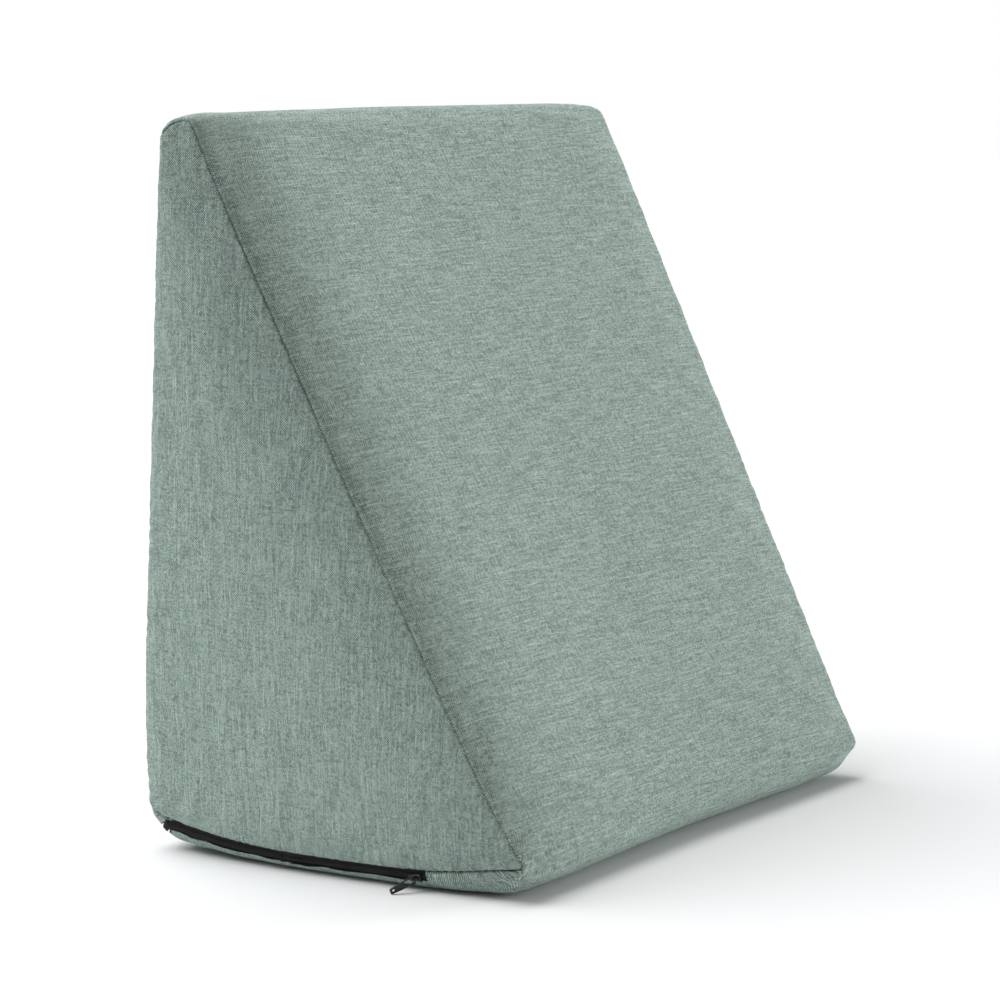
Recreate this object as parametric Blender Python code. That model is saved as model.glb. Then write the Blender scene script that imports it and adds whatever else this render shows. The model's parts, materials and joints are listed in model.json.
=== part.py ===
"""A foam wedge cushion in a sewn and zipped cover, standing on its base.

Metres, +Z up. X runs along the ridge, the slope faces -Y, the back faces +Y and the
origin is the middle of the base, on the surface that the cushion stands on.

The cover is one wrap panel (back, ridge, slope and base) with a triangular panel sewn
into each end. A zip closes it along the foot of the left panel and of the back.
"""
import math

import bmesh
import bpy
import numpy as np
from mathutils import Matrix, Vector

# Size of the square wedge, before its foot is set forward
WIDTH = 0.500
DEPTH = 0.300
HEIGHT = 0.500

# The section across the middle is a belt round four rollers: one at the front edge, two
# close together at the ridge and one at the heel, the foot of the back
FRONT_RADIUS = 0.0250
RIDGE_RADIUS = 0.0170
RIDGE_FLAT = 0.0063
HEEL_RADIUS = 0.0255
BACK_LEAN = 0.0320

# Cloth and sewing
SHEET = 0.0015
PIECE_GAP = 0.0003
SEAM_CHANNEL_DEPTH = 0.0040

# The end panels stand proud of their seams by a tight round edge and a shallow crown
SIDE_ROUND = 0.0038
SIDE_CROWN = 0.0026
SIDE_ROUND_POWER = 16
SEAM_X = WIDTH / 2 - SIDE_ROUND - SIDE_CROWN
SHOULDER_X = SEAM_X - 0.0150
# Share of the quarter ellipse that the wrap has turned through where it meets the seam
ROLL_AT_SEAM = 0.90
# The seam along the foot of an end panel sags in the middle and rises to its corners
SEAM_RISE_AT_CORNERS = 0.0110
SEAM_RISE_POWER = 3
SEAM_RISE_HEIGHT = 0.060
# The stuffed cover isn't quite square: its ridge is turned against its base, and the foot
# of its slope stands forward at the left
RIDGE_TURN = 0.0116
LEFT_FOOT_FORWARD = 0.0136
# The six corners are drawn in towards a point inside, each over its own reach
DRAWN_COLUMNS = ("side", "y", "z", "depth", "reach")
RIDGE_Y = DEPTH / 2 - BACK_LEAN - RIDGE_RADIUS
DRAWN_ROWS = (
    (-1, -DEPTH / 2, 0.0, 0.0078, 0.080),
    (1, -DEPTH / 2, 0.0, 0.0060, 0.075),
    (-1, DEPTH / 2, 0.0, 0.0121, 0.140),
    (1, DEPTH / 2, 0.0, 0.0121, 0.140),
    (-1, RIDGE_Y, HEIGHT, 0.0050, 0.065),
    (1, RIDGE_Y, HEIGHT, 0.0040, 0.065),
)
DRAWN_CORNERS = [dict(zip(DRAWN_COLUMNS, row)) for row in DRAWN_ROWS]
DRAW_TARGET = Vector((0.0, 0.030, 0.200))
# Below this height the base isn't pushed lower than it lay
BASE_BAND = 0.010

# Insets of each run and radii of each corner: in the middle, at the shoulder of the roll
# and at the seam. The crest is the ridge's rear corner
OUTLINE_COLUMNS = ("slope", "top", "back", "base", "front", "ridge", "crest", "heel")
OUTLINE_ROWS = {
    "middle": (0.0, 0.0, 0.0, 0.0, FRONT_RADIUS, RIDGE_RADIUS, RIDGE_RADIUS, HEEL_RADIUS),
    "shoulder": (0.0017, 0.0014, 0.0012, 0.0, 0.0225, 0.0160, 0.0170, 0.0240),
    "seam": (0.0054, 0.0046, 0.0052, 0.0126, 0.0040, 0.0080, 0.0165, 0.0120),
}
SIZES = {name: dict(zip(OUTLINE_COLUMNS, row)) for name, row in OUTLINE_ROWS.items()}

# Steps along each corner and each straight run of an outline
CORNER_STEPS = 6
SLOPE_STEPS = 12
TOP_STEPS = 1
BACK_STEPS = 10
BASE_STEPS = 12
# Share of the roll at which the wrap has a ring, and rings across its flat middle
ROLL_RINGS = (0.30, 0.55, 0.75, 0.90, 1.0)
MIDDLE_RINGS = (0.0, 0.30, 0.58, 0.80, 0.93, 1.0)
# Rings of an end panel, as shares of the way from its middle out to its seam
PANEL_RINGS = (0.25, 0.50, 0.70, 0.84, 0.92, 0.965, 1.0)

# Step across the wrap over which its outward direction is taken
NORMAL_STEP = 0.0008

# The zip, in its own frame: W is across it, positive towards the panel, and H is out of
# the cushion
ZIP_HEIGHT_ROLL = 0.90
ZIP_START_Y = -0.0770
ZIP_END_X = 0.2000
ZIP_CORNER = 0.0260
ZIP_HEEL_ANGLE = math.radians(-30)
ZIP_STEP = 0.0060
ZIP_CORNER_STEPS = 10
ZIP_BACK_STEPS = 14
ZIP_END_CLEAR = 0.0008
CHANNEL_LOW = -0.0038
CHANNEL_HIGH = 0.0040
CHANNEL_DEPTH = 0.0035
CHANNEL_CLEAR = 0.0080
TAPE_THICKNESS = 0.0010
TAPE_INNER = 0.0003
TAPE_OUTER_LOW = 0.0034
TAPE_OUTER_HIGH = 0.0036
COIL_WIDTH = 0.0042
COIL_HEIGHT = 0.0019
COIL_CHAMFER = 0.0005

# Slider and pull
SLIDER_LENGTH = 0.0088
SLIDER_WIDTH = 0.0056
SLIDER_PLATE = 0.0014
SLIDER_SETBACK = 0.0075
SLIDER_BEVEL = 0.0005
BRIDGE_LENGTH = 0.0060
BRIDGE_HEIGHT = 0.0030
BRIDGE_THICKNESS = 0.0009
BRIDGE_WIDTH = 0.0018
BRIDGE_FOOT = 0.0004
BRIDGE_STEPS = 10
PULL_TOP_WIDTH = 0.0068
PULL_TIP_WIDTH = 0.0042
PULL_THICKNESS = 0.0010
PULL_SLOT_WIDTH = 0.0042
PULL_SLOT_LENGTH = 0.0062
PULL_BAR = 0.0011
PULL_HOLE_RADIUS = 0.0008
PULL_HOLE_SIDES = 12
# The pull hangs from the bridge to this point, just clear of the surface
PULL_TIP = Vector((-0.2570, -0.0700, 0.0022))

# Colours, linear
CLOTH_COLOUR = (0.235, 0.305, 0.268, 1.0)
ZIP_COLOUR = (0.012, 0.012, 0.013, 1.0)


def clear_scene():
    """Remove every object."""
    for item in list(bpy.data.objects):
        bpy.data.objects.remove(item, do_unlink=True)


def make_material(name, colour, roughness, metallic=0.0):
    """Return a plain Principled material."""
    material = bpy.data.materials.new(name)
    material.use_nodes = True
    shader = material.node_tree.nodes["Principled BSDF"]
    shader.inputs["Base Color"].default_value = colour
    shader.inputs["Roughness"].default_value = roughness
    shader.inputs["Metallic"].default_value = metallic
    material.diffuse_color = colour
    return material


def make_object(name, mesh_edit, material, smooth_angle=40):
    """Turn a bmesh into a named object, its faces pointing out."""
    bmesh.ops.recalc_face_normals(mesh_edit, faces=mesh_edit.faces)
    mesh = bpy.data.meshes.new(name)
    mesh_edit.to_mesh(mesh)
    mesh_edit.free()
    mesh.shade_smooth()
    mesh.set_sharp_from_angle(angle=math.radians(smooth_angle))
    item = bpy.data.objects.new(name, mesh)
    bpy.context.scene.collection.objects.link(item)
    if material:
        mesh.materials.append(material)
    return item


def boolean(item, cutter, operation):
    """Combine an object with another, which becomes a guide."""
    modifier = item.modifiers.new(operation.title(), "BOOLEAN")
    modifier.operation = operation
    modifier.solver = "EXACT"
    modifier.object = cutter
    cutter.hide_render = True
    cutter.display_type = "WIRE"


def belt_line(centre_a, radius_a, centre_b, radius_b):
    """Return the outward normal and the offset of the belt between two rollers."""
    along = centre_b - centre_a
    length = np.hypot(*along)
    along = along / length
    left = np.array([-along[1], along[0]])
    lean = (radius_a - radius_b) / length
    normal = along * lean + left * math.sqrt(1 - lean * lean)
    return normal, float(normal @ centre_a + radius_a)


def belt_lines():
    """Return the four straight runs of the middle section, in the Y-Z plane."""
    front = np.array([-DEPTH / 2 + FRONT_RADIUS, FRONT_RADIUS])
    ridge_back = np.array([DEPTH / 2 - BACK_LEAN - RIDGE_RADIUS, HEIGHT - RIDGE_RADIUS])
    ridge_front = ridge_back - np.array([RIDGE_FLAT, 0.0])
    heel = np.array([DEPTH / 2 - HEEL_RADIUS, HEEL_RADIUS])
    return {
        "slope": belt_line(front, FRONT_RADIUS, ridge_front, RIDGE_RADIUS),
        "top": belt_line(ridge_front, RIDGE_RADIUS, ridge_back, RIDGE_RADIUS),
        "back": belt_line(ridge_back, RIDGE_RADIUS, heel, HEEL_RADIUS),
        "base": belt_line(heel, HEEL_RADIUS, front, FRONT_RADIUS),
    }


def corner_arc(lines, sizes, before, after, corner):
    """Return the points of one rounded corner between two runs of an outline."""
    radius = sizes[corner]
    normals = np.array([lines[before][0], lines[after][0]])
    offsets = [lines[run][1] - sizes[run] - radius for run in (before, after)]
    centre = np.linalg.solve(normals, offsets)
    start, end = (math.atan2(n[1], n[0]) for n in normals)
    if end > start:
        end -= 2 * math.pi
    angles = np.linspace(start, end, CORNER_STEPS + 1)
    return centre + radius * np.column_stack([np.cos(angles), np.sin(angles)])


def outline(sizes):
    """Return a closed outline in the Y-Z plane: front corner, slope, ridge, back, heel, base."""
    lines = belt_lines()
    corners = [
        corner_arc(lines, sizes, "base", "slope", "front"),
        corner_arc(lines, sizes, "slope", "top", "ridge"),
        corner_arc(lines, sizes, "top", "back", "crest"),
        corner_arc(lines, sizes, "back", "base", "heel"),
    ]
    points = []
    for i, steps in enumerate((SLOPE_STEPS, TOP_STEPS, BACK_STEPS, BASE_STEPS)):
        points.extend(corners[i])
        start, end = corners[i][-1], corners[(i + 1) % 4][0]
        points.extend(start + (end - start) * step / steps for step in range(1, steps))
    return np.array(points)


def seam_outline():
    """Return the outline of the seam round an end panel, its foot sagging in the middle."""
    points = outline(SIZES["seam"])
    low = np.clip(1 - points[:, 1] / SEAM_RISE_HEIGHT, 0, 1)
    from_middle = np.abs(2 * points[:, 0] / DEPTH)
    points[:, 1] += SEAM_RISE_AT_CORNERS * low * from_middle ** SEAM_RISE_POWER
    return points


MIDDLE_OUTLINE = outline(SIZES["middle"])
SHOULDER_OUTLINE = outline(SIZES["shoulder"])
SEAM_OUTLINE = seam_outline()
# Index of the first point of the heel's arc in an outline
HEEL_INDEX = 3 * CORNER_STEPS + SLOPE_STEPS + TOP_STEPS + BACK_STEPS


def turn_and_stand(point):
    """Return a point with the ridge turned and the left foot of the slope set forward."""
    share = point.x / (WIDTH / 2)
    up = min(max(point.z / HEIGHT, 0.0), 1.0)
    front = max(0.5 - point.y / DEPTH, 0.0)
    shift = -share * RIDGE_TURN * up - max(-share, 0.0) * LEFT_FOOT_FORWARD * (1 - up) * front
    return Vector((point.x, point.y + shift, point.z))


def settle(point):
    """Return where a point of the square cover lies on the stuffed one."""
    point = turn_and_stand(point)
    moved = point.copy()
    for row in DRAWN_CORNERS:
        corner = Vector((row["side"] * WIDTH / 2, row["y"], row["z"]))
        share = 1 - (point - corner).length / row["reach"]
        if share > 0:
            moved += (DRAW_TARGET - corner).normalized() * row["depth"] * share * share
    if moved.z < point.z < BASE_BAND:
        moved.z = point.z
    return moved


def roll_weight(share):
    """Return how far an edge has rolled in, from 0 at the shoulder to 1 at the seam."""
    full = 1 - math.sqrt(1 - ROLL_AT_SEAM ** 2)
    return (1 - math.sqrt(1 - (ROLL_AT_SEAM * share) ** 2)) / full


def wrap_ring(x):
    """Return the wrap's outline at a place across the width."""
    side = abs(x)
    if side <= SHOULDER_X:
        return MIDDLE_OUTLINE + (SHOULDER_OUTLINE - MIDDLE_OUTLINE) * (side / SHOULDER_X) ** 2
    weight = roll_weight((side - SHOULDER_X) / (SEAM_X - SHOULDER_X))
    return SHOULDER_OUTLINE + (SEAM_OUTLINE - SHOULDER_OUTLINE) * weight


def side_stand(share):
    """Return how far an end panel stands out of its seam, by its share of the way out."""
    return SIDE_ROUND * (1 - share ** SIDE_ROUND_POWER) + SIDE_CROWN * (1 - share ** 2)


def panel_middle():
    """Return the point of an end panel equally far from all its seams, and how far that is."""
    lines = belt_lines()
    runs = ("slope", "back", "base")
    rows = [[*lines[run][0], 1.0] for run in runs]
    offsets = [lines[run][1] - SIZES["seam"][run] for run in runs]
    solved = np.linalg.solve(np.array(rows), offsets)
    return solved[:2], float(solved[2])


def ring_at(points, x):
    """Place an outline at X."""
    return [settle(Vector((x, y, z))) for y, z in points]


def ring_span(loop):
    """Return the distance across a ring of vertices."""
    return (loop[0].co - loop[len(loop) // 2].co).length


def loft(rings, first_pole, last_pole):
    """Skin closed rings of points, with a fan of triangles at each end.

    Each square is split the same way, seen from the smaller ring, so that two skins that lie
    close together bend along the same lines.
    """
    edit = bmesh.new()
    loops = [[edit.verts.new(point) for point in ring] for ring in rings]
    count = len(loops[0])
    for near, far in zip(loops, loops[1:]):
        small, large = sorted((near, far), key=ring_span)
        for i in range(count):
            j = (i + 1) % count
            edit.faces.new((small[i], small[j], large[j]))
            edit.faces.new((small[i], large[j], large[i]))
    for pole, loop in ((first_pole, loops[0]), (last_pole, loops[-1])):
        tip = edit.verts.new(pole)
        for i in range(count):
            edit.faces.new((tip, loop[i], loop[(i + 1) % count]))
    return edit


def recess_rings(side):
    """Return the body's rings behind one end panel, from its middle out to the seam."""
    centre, _ = panel_middle()
    inner = SHEET + PIECE_GAP
    rings = []
    for share in PANEL_RINGS[:-1]:
        points = centre + (SEAM_OUTLINE - centre) * share
        rings.append(ring_at(points, side * (SEAM_X + side_stand(share) - inner)))
    rings.append(ring_at(SEAM_OUTLINE, side * (SEAM_X - SEAM_CHANNEL_DEPTH)))
    pole = settle(Vector((side * (SEAM_X + side_stand(0) - inner), *centre)))
    return pole, rings


def build_cushion(material):
    """Build the filled wrap as one solid, with the channels that take the end panels."""
    middle = [SHOULDER_X * share for share in MIDDLE_RINGS]
    roll = [SHOULDER_X + (SEAM_X - SHOULDER_X) * share for share in ROLL_RINGS]
    half = middle + roll
    places = [-x for x in reversed(half)] + half[1:]
    wrap = [ring_at(wrap_ring(x), x) for x in places]
    left_pole, left = recess_rings(-1)
    right_pole, right = recess_rings(1)
    edit = loft(left + wrap + right[::-1], left_pole, right_pole)
    return make_object("cushion", edit, material)


def build_side_panel(name, side, material):
    """Build one end panel as a puffed sheet just inside its seam."""
    centre, reach = panel_middle()
    trim = 1 - PIECE_GAP / reach
    outer = []
    inner = []
    for share in PANEL_RINGS:
        points = centre + (SEAM_OUTLINE - centre) * share * trim
        stand = SEAM_X + side_stand(share)
        outer.append(ring_at(points, side * stand))
        inner.append(ring_at(points, side * (stand - SHEET)))
    crown = SEAM_X + side_stand(0)
    poles = [settle(Vector((side * place, *centre))) for place in (crown, crown - SHEET)]
    return make_object(name, loft(outer + inner[::-1], *poles), material)


def surface_point(x, index):
    """Return the wrap's point at a place across the width and at an outline index."""
    ring = wrap_ring(x)
    low = int(math.floor(index))
    part = index - low
    y, z = ring[low % len(ring)] * (1 - part) + ring[(low + 1) % len(ring)] * part
    return settle(Vector((x, y, z)))


def surface_normal(x, index):
    """Return the wrap's outward direction, from short steps along and across it."""
    across = surface_point(x + NORMAL_STEP, index) - surface_point(x - NORMAL_STEP, index)
    along = surface_point(x, index + 0.5) - surface_point(x, index - 0.5)
    normal = along.cross(across).normalized()
    outward = surface_point(x, index) - Vector((0, 0, HEIGHT / 3))
    return normal if normal.dot(outward) > 0 else -normal


def index_at_y(x, y):
    """Return the outline index on the base of a ring at which it reaches Y."""
    ring = wrap_ring(x)
    start = HEEL_INDEX + CORNER_STEPS
    places = [ring[(start + i) % len(ring)][0] for i in range(BASE_STEPS + 1)]
    for i, (high, low) in enumerate(zip(places, places[1:])):
        if low <= y <= high:
            return start + i + (high - y) / (high - low)
    return start + BASE_STEPS


def heel_index_at(angle):
    """Return the outline index on the heel's arc at which it faces an angle."""
    lines = belt_lines()
    start, end = (math.atan2(lines[run][0][1], lines[run][0][0]) for run in ("back", "base"))
    return HEEL_INDEX + CORNER_STEPS * (start - angle) / (start - end)


def zip_route():
    """Return the zip's middle line on the wrap, from the left panel's foot round to the back."""
    left_x = -(SHOULDER_X + (SEAM_X - SHOULDER_X) * ZIP_HEIGHT_ROLL)
    corner_y = DEPTH / 2 - ZIP_CORNER
    heel_index = heel_index_at(ZIP_HEEL_ANGLE)
    corner_index = index_at_y(left_x, corner_y)
    steps = int((corner_y - ZIP_START_Y) / ZIP_STEP)
    side_run = np.linspace(ZIP_START_Y + ZIP_END_CLEAR, corner_y, steps, endpoint=False)
    places = [(left_x, index_at_y(left_x, y)) for y in (ZIP_START_Y, *side_run)]
    for turn in np.linspace(0, math.pi / 2, ZIP_CORNER_STEPS + 1):
        x = left_x + ZIP_CORNER * (1 - math.cos(turn))
        places.append((x, corner_index + (heel_index - corner_index) * math.sin(turn)))
    back_run = np.linspace(left_x + ZIP_CORNER, ZIP_END_X - ZIP_END_CLEAR, ZIP_BACK_STEPS)
    for x in (*back_run[1:], ZIP_END_X):
        places.append((x, heel_index))
    points = [surface_point(*place) for place in places]
    return points, [surface_normal(*place) for place in places]


def smooth_vectors(vectors, rounds=3):
    """Return unit vectors, each evened out with its neighbours."""
    for _ in range(rounds):
        threes = zip(vectors, vectors[1:], vectors[2:])
        inner = [(before + here * 2 + after).normalized() for before, here, after in threes]
        vectors = [vectors[0], *inner, vectors[-1]]
    return vectors


class Zip:
    """The zip's middle line, with its directions across and out at each point."""

    def __init__(self):
        self.points, outs = zip_route()
        outs = smooth_vectors(outs)
        ends = [self.points[0]] + self.points + [self.points[-1]]
        self.alongs = [(b - a).normalized() for a, b in zip(ends, ends[2:])]
        self.ups = [(-out.cross(along)).normalized() for out, along in zip(outs, self.alongs)]
        self.outs = [along.cross(-up).normalized() for up, along in zip(self.ups, self.alongs)]
        for i, up in enumerate(self.ups):
            if up.z < 0:
                self.ups[i] = -up

    def sweep(self, section, first=0, last=None):
        """Return a closed bar whose section, in (W, H), follows the zip."""
        edit = bmesh.new()
        stop = len(self.points) if last is None else last
        loops = []
        for i in range(first, stop):
            point, up, out = self.points[i], self.ups[i], self.outs[i]
            loops.append([edit.verts.new(point + up * w + out * h) for w, h in section])
        count = len(section)
        for near, far in zip(loops, loops[1:]):
            for i in range(count):
                j = (i + 1) % count
                edit.faces.new((near[i], near[j], far[j], far[i]))
        edit.faces.new(loops[0])
        edit.faces.new(loops[-1])
        return edit

    def frame(self, index):
        """Return one point's place, and its directions along, up and out."""
        return self.points[index], self.alongs[index], self.ups[index], self.outs[index]


def rectangle(low, high, floor, top):
    """Return a rectangular section in (W, H)."""
    return [(low, floor), (high, floor), (high, top), (low, top)]


def build_channel(zipper):
    """Return the cutter that opens the wrap for the zip."""
    section = rectangle(CHANNEL_LOW, CHANNEL_HIGH, -CHANNEL_DEPTH, CHANNEL_CLEAR)
    return make_object("zip_channel_cutter", zipper.sweep(section), None)


def build_tapes(zipper, material):
    """Build the two halves of the tape on the floor of the channel."""
    floor = -CHANNEL_DEPTH + PIECE_GAP
    top = floor + TAPE_THICKNESS
    last = len(zipper.points) - 1
    upper = rectangle(TAPE_INNER / 2, TAPE_OUTER_HIGH, floor, top)
    lower = rectangle(-TAPE_OUTER_LOW, -TAPE_INNER / 2, floor, top)
    return [
        make_object("zip_tape_upper", zipper.sweep(upper, 1, last), material),
        make_object("zip_tape_lower", zipper.sweep(lower, 1, last), material),
    ]


def build_coil(zipper, material):
    """Build the closed coil as one strip with its corners taken off."""
    floor = -CHANNEL_DEPTH + TAPE_THICKNESS + 2 * PIECE_GAP
    top = floor + COIL_HEIGHT
    half = COIL_WIDTH / 2
    flat = half - COIL_CHAMFER
    shoulder = top - COIL_CHAMFER
    right = [(half, floor), (half, shoulder), (flat, top)]
    section = right + [(-w, h) for w, h in reversed(right)]
    return make_object("zip_coil", zipper.sweep(section, 1, len(zipper.points) - 1), material)


def block(size):
    """Return a bmesh box of the given size about its centre."""
    edit = bmesh.new()
    bmesh.ops.create_cube(edit, size=1.0)
    bmesh.ops.scale(edit, vec=Vector(size), verts=edit.verts)
    return edit


def frame_matrix(place, along, up, out):
    """Return the matrix whose X, Y and Z run along, up and out."""
    turned = Matrix((along, up, out)).transposed().to_4x4()
    return Matrix.Translation(place) @ turned


def prism(outline_points, thickness):
    """Return a bmesh of an outline in X and Y, thickened both ways along Z."""
    edit = bmesh.new()
    face = edit.faces.new([edit.verts.new((x, y, -thickness / 2)) for x, y in outline_points])
    grown = bmesh.ops.extrude_face_region(edit, geom=[face])
    moved = [item for item in grown["geom"] if isinstance(item, bmesh.types.BMVert)]
    bmesh.ops.translate(edit, vec=(0, 0, thickness), verts=moved)
    return edit


def bridge_outline():
    """Return the arch of the slider's bridge, in (along, out) from the plate's top."""
    turns = [math.pi * step / BRIDGE_STEPS for step in range(BRIDGE_STEPS + 1)]
    inner_half = BRIDGE_LENGTH / 2 - BRIDGE_THICKNESS
    inner_top = BRIDGE_HEIGHT - BRIDGE_THICKNESS
    outer = [(math.cos(turn) * BRIDGE_LENGTH / 2, math.sin(turn) * BRIDGE_HEIGHT) for turn in turns]
    inner = [(math.cos(turn) * inner_half, math.sin(turn) * inner_top) for turn in reversed(turns)]
    left_foot = [(-BRIDGE_LENGTH / 2, -BRIDGE_FOOT), (-inner_half, -BRIDGE_FOOT)]
    right_foot = [(-x, z) for x, z in reversed(left_foot)]
    return outer + left_foot + inner + right_foot


def build_slider(zipper, material):
    """Build the slider: a bevelled plate with the arched bridge that holds the pull."""
    place, along, up, out = zipper.frame(0)
    place = place + along * SLIDER_SETBACK
    matrix = frame_matrix(place + out * (PIECE_GAP + SLIDER_PLATE / 2), along, up, out)
    plate = block((SLIDER_LENGTH, SLIDER_WIDTH, SLIDER_PLATE))
    bmesh.ops.bevel(plate, geom=list(plate.edges), offset=SLIDER_BEVEL, segments=2, affect="EDGES")
    item = make_object("zip_slider", plate, material)
    item.matrix_world = matrix
    bridge = make_object("bridge_guide", prism(bridge_outline(), BRIDGE_WIDTH), None)
    raise_arch = Matrix.Translation((0, 0, SLIDER_PLATE / 2)) @ Matrix.Rotation(math.pi / 2, 4, "X")
    bridge.matrix_world = matrix @ raise_arch
    boolean(item, bridge, "UNION")
    eye_height = (BRIDGE_HEIGHT - BRIDGE_THICKNESS) / 2
    return matrix @ Vector((0, 0, SLIDER_PLATE / 2 + eye_height)), out


def build_pull(eye, out, material):
    """Build the pull: a tapered tab whose slot rides on the bridge."""
    hang = PULL_TIP - eye
    down = hang.normalized()
    across = out.cross(down).normalized()
    matrix = frame_matrix(eye, down, across, down.cross(across))
    top = -PULL_BAR / 2
    half_top, half_tip = PULL_TOP_WIDTH / 2, PULL_TIP_WIDTH / 2
    tip = hang.length + half_tip / 2
    corner = half_tip / 2
    top_corner = [(top, -half_top + corner), (top + corner, -half_top)]
    tip_corner = [(tip - corner, -half_tip), (tip, -half_tip + corner)]
    side = top_corner + tip_corner
    edge = side + [(x, -y) for x, y in reversed(side)]
    item = make_object("zip_pull", prism(edge, PULL_THICKNESS), material)
    item.matrix_world = matrix
    cut_depth = 4 * PULL_THICKNESS
    slot = block((PULL_SLOT_LENGTH, PULL_SLOT_WIDTH, cut_depth))
    bmesh.ops.translate(slot, vec=(PULL_BAR / 2 + PULL_SLOT_LENGTH / 2, 0, 0), verts=slot.verts)
    slot_cutter = make_object("pull_slot_cutter", slot, None)
    hole = bmesh.new()
    bmesh.ops.create_cone(hole, cap_ends=True, segments=PULL_HOLE_SIDES, depth=cut_depth,
                          radius1=PULL_HOLE_RADIUS, radius2=PULL_HOLE_RADIUS)
    bmesh.ops.translate(hole, vec=(tip - half_tip, 0, 0), verts=hole.verts)
    hole_cutter = make_object("pull_hole_cutter", hole, None)
    for cutter in (slot_cutter, hole_cutter):
        cutter.matrix_world = matrix
        boolean(item, cutter, "DIFFERENCE")


def main():
    """Build the cushion, its end panels and its zip."""
    clear_scene()
    cloth = make_material("cover_cloth", CLOTH_COLOUR, 0.85)
    black = make_material("zip_black", ZIP_COLOUR, 0.45)
    zipper = Zip()
    cushion = build_cushion(cloth)
    boolean(cushion, build_channel(zipper), "DIFFERENCE")
    build_side_panel("side_panel_left", -1, cloth)
    build_side_panel("side_panel_right", 1, cloth)
    build_tapes(zipper, black)
    build_coil(zipper, black)
    eye, out = build_slider(zipper, black)
    build_pull(eye, out, black)


main()
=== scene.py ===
"""The looks of a foam wedge cushion in a sewn and zipped cover.

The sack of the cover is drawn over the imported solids, blown up as cloth, given its seams,
puckers and creases, and parted along its seams into the wrap and the two end panels. The
zip's coil, slider and pull are modelled over their packed places.

Metres, +Z up. X runs along the ridge, the slope faces -Y and the back faces +Y.
"""

import json
import logging
import math
from dataclasses import dataclass, field
from enum import Enum
from typing import Any, Iterable, Sequence

import bmesh
import bpy
import numpy as np
from mathutils import Matrix, Vector, noise
from mathutils.bvhtree import BVHTree
from mathutils.kdtree import KDTree

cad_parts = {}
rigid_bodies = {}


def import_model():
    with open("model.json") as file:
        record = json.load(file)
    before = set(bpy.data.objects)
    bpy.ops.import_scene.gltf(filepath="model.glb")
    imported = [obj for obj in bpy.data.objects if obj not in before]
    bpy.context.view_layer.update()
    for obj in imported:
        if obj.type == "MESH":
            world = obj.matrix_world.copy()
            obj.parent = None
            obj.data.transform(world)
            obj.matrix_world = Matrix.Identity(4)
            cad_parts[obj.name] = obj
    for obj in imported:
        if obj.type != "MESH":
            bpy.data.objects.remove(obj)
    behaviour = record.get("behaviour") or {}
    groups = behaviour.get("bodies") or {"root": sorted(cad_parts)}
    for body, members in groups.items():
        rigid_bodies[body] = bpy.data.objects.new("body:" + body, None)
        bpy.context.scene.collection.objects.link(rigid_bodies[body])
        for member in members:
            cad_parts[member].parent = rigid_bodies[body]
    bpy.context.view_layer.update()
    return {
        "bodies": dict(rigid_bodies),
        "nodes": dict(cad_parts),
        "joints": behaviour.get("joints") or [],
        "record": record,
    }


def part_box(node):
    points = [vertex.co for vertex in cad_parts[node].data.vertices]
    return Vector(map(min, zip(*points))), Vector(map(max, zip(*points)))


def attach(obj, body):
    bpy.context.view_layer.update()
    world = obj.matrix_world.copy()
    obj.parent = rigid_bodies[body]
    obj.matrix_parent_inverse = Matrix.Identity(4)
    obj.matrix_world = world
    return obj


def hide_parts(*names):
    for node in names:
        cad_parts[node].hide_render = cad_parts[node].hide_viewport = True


LOG = logging.getLogger("wedge_cushion")
BODY = "root"
MM = 0.001
MERGE_DISTANCE = 0.00001


class Side(Enum):
    """The two ends of the cushion, by the sign of X."""

    LEFT = -1
    RIGHT = 1

    @property
    def panel_node(self) -> str:
        """Return the name of this end's packed panel."""
        return f"side_panel_{self.name.lower()}"

    @property
    def slot_index(self) -> int:
        """Return the material index that marks this end's faces on the sack."""
        return 1 if self is Side.LEFT else 2


class Channel(Enum):
    """The three parts of a route's frame, as columns."""

    ALONG = 0
    UP = 1
    OUT = 2


def activate(item: bpy.types.Object) -> None:
    """Select one object alone and make it the active one.

    Args:
        item: The object that the next operator works on.
    """
    bpy.ops.object.select_all(action="DESELECT")
    item.select_set(True)
    bpy.context.view_layer.objects.active = item


def apply_modifier(item: bpy.types.Object, modifier: bpy.types.Modifier) -> None:
    """Apply one modifier of an object.

    Args:
        item: The object.
        modifier: The modifier, which is gone afterwards.
    """
    activate(item)
    bpy.ops.object.modifier_apply(modifier=modifier.name)


def coordinates(item: bpy.types.Object, value: str = "co") -> np.ndarray:
    """Return a vector of every vertex of an object.

    Args:
        item: The object.
        value: The vertex property, co or normal.

    Returns:
        One row of three numbers for each vertex.
    """
    vertices = item.data.vertices
    found = np.empty(len(vertices) * 3)
    vertices.foreach_get(value, found)
    return found.reshape(-1, 3)


def set_coordinates(item: bpy.types.Object, places: np.ndarray) -> None:
    """Move every vertex of an object.

    Args:
        item: The object.
        places: One row of three numbers for each vertex.
    """
    item.data.vertices.foreach_set("co", places.ravel())
    item.data.update()


def point_outwards(item: bpy.types.Object) -> None:
    """Turn every face of a closed object outwards.

    Args:
        item: The object.
    """
    activate(item)
    bpy.ops.object.mode_set(mode="EDIT")
    bpy.ops.mesh.select_all(action="SELECT")
    bpy.ops.mesh.normals_make_consistent(inside=False)
    bpy.ops.object.mode_set(mode="OBJECT")


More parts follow.
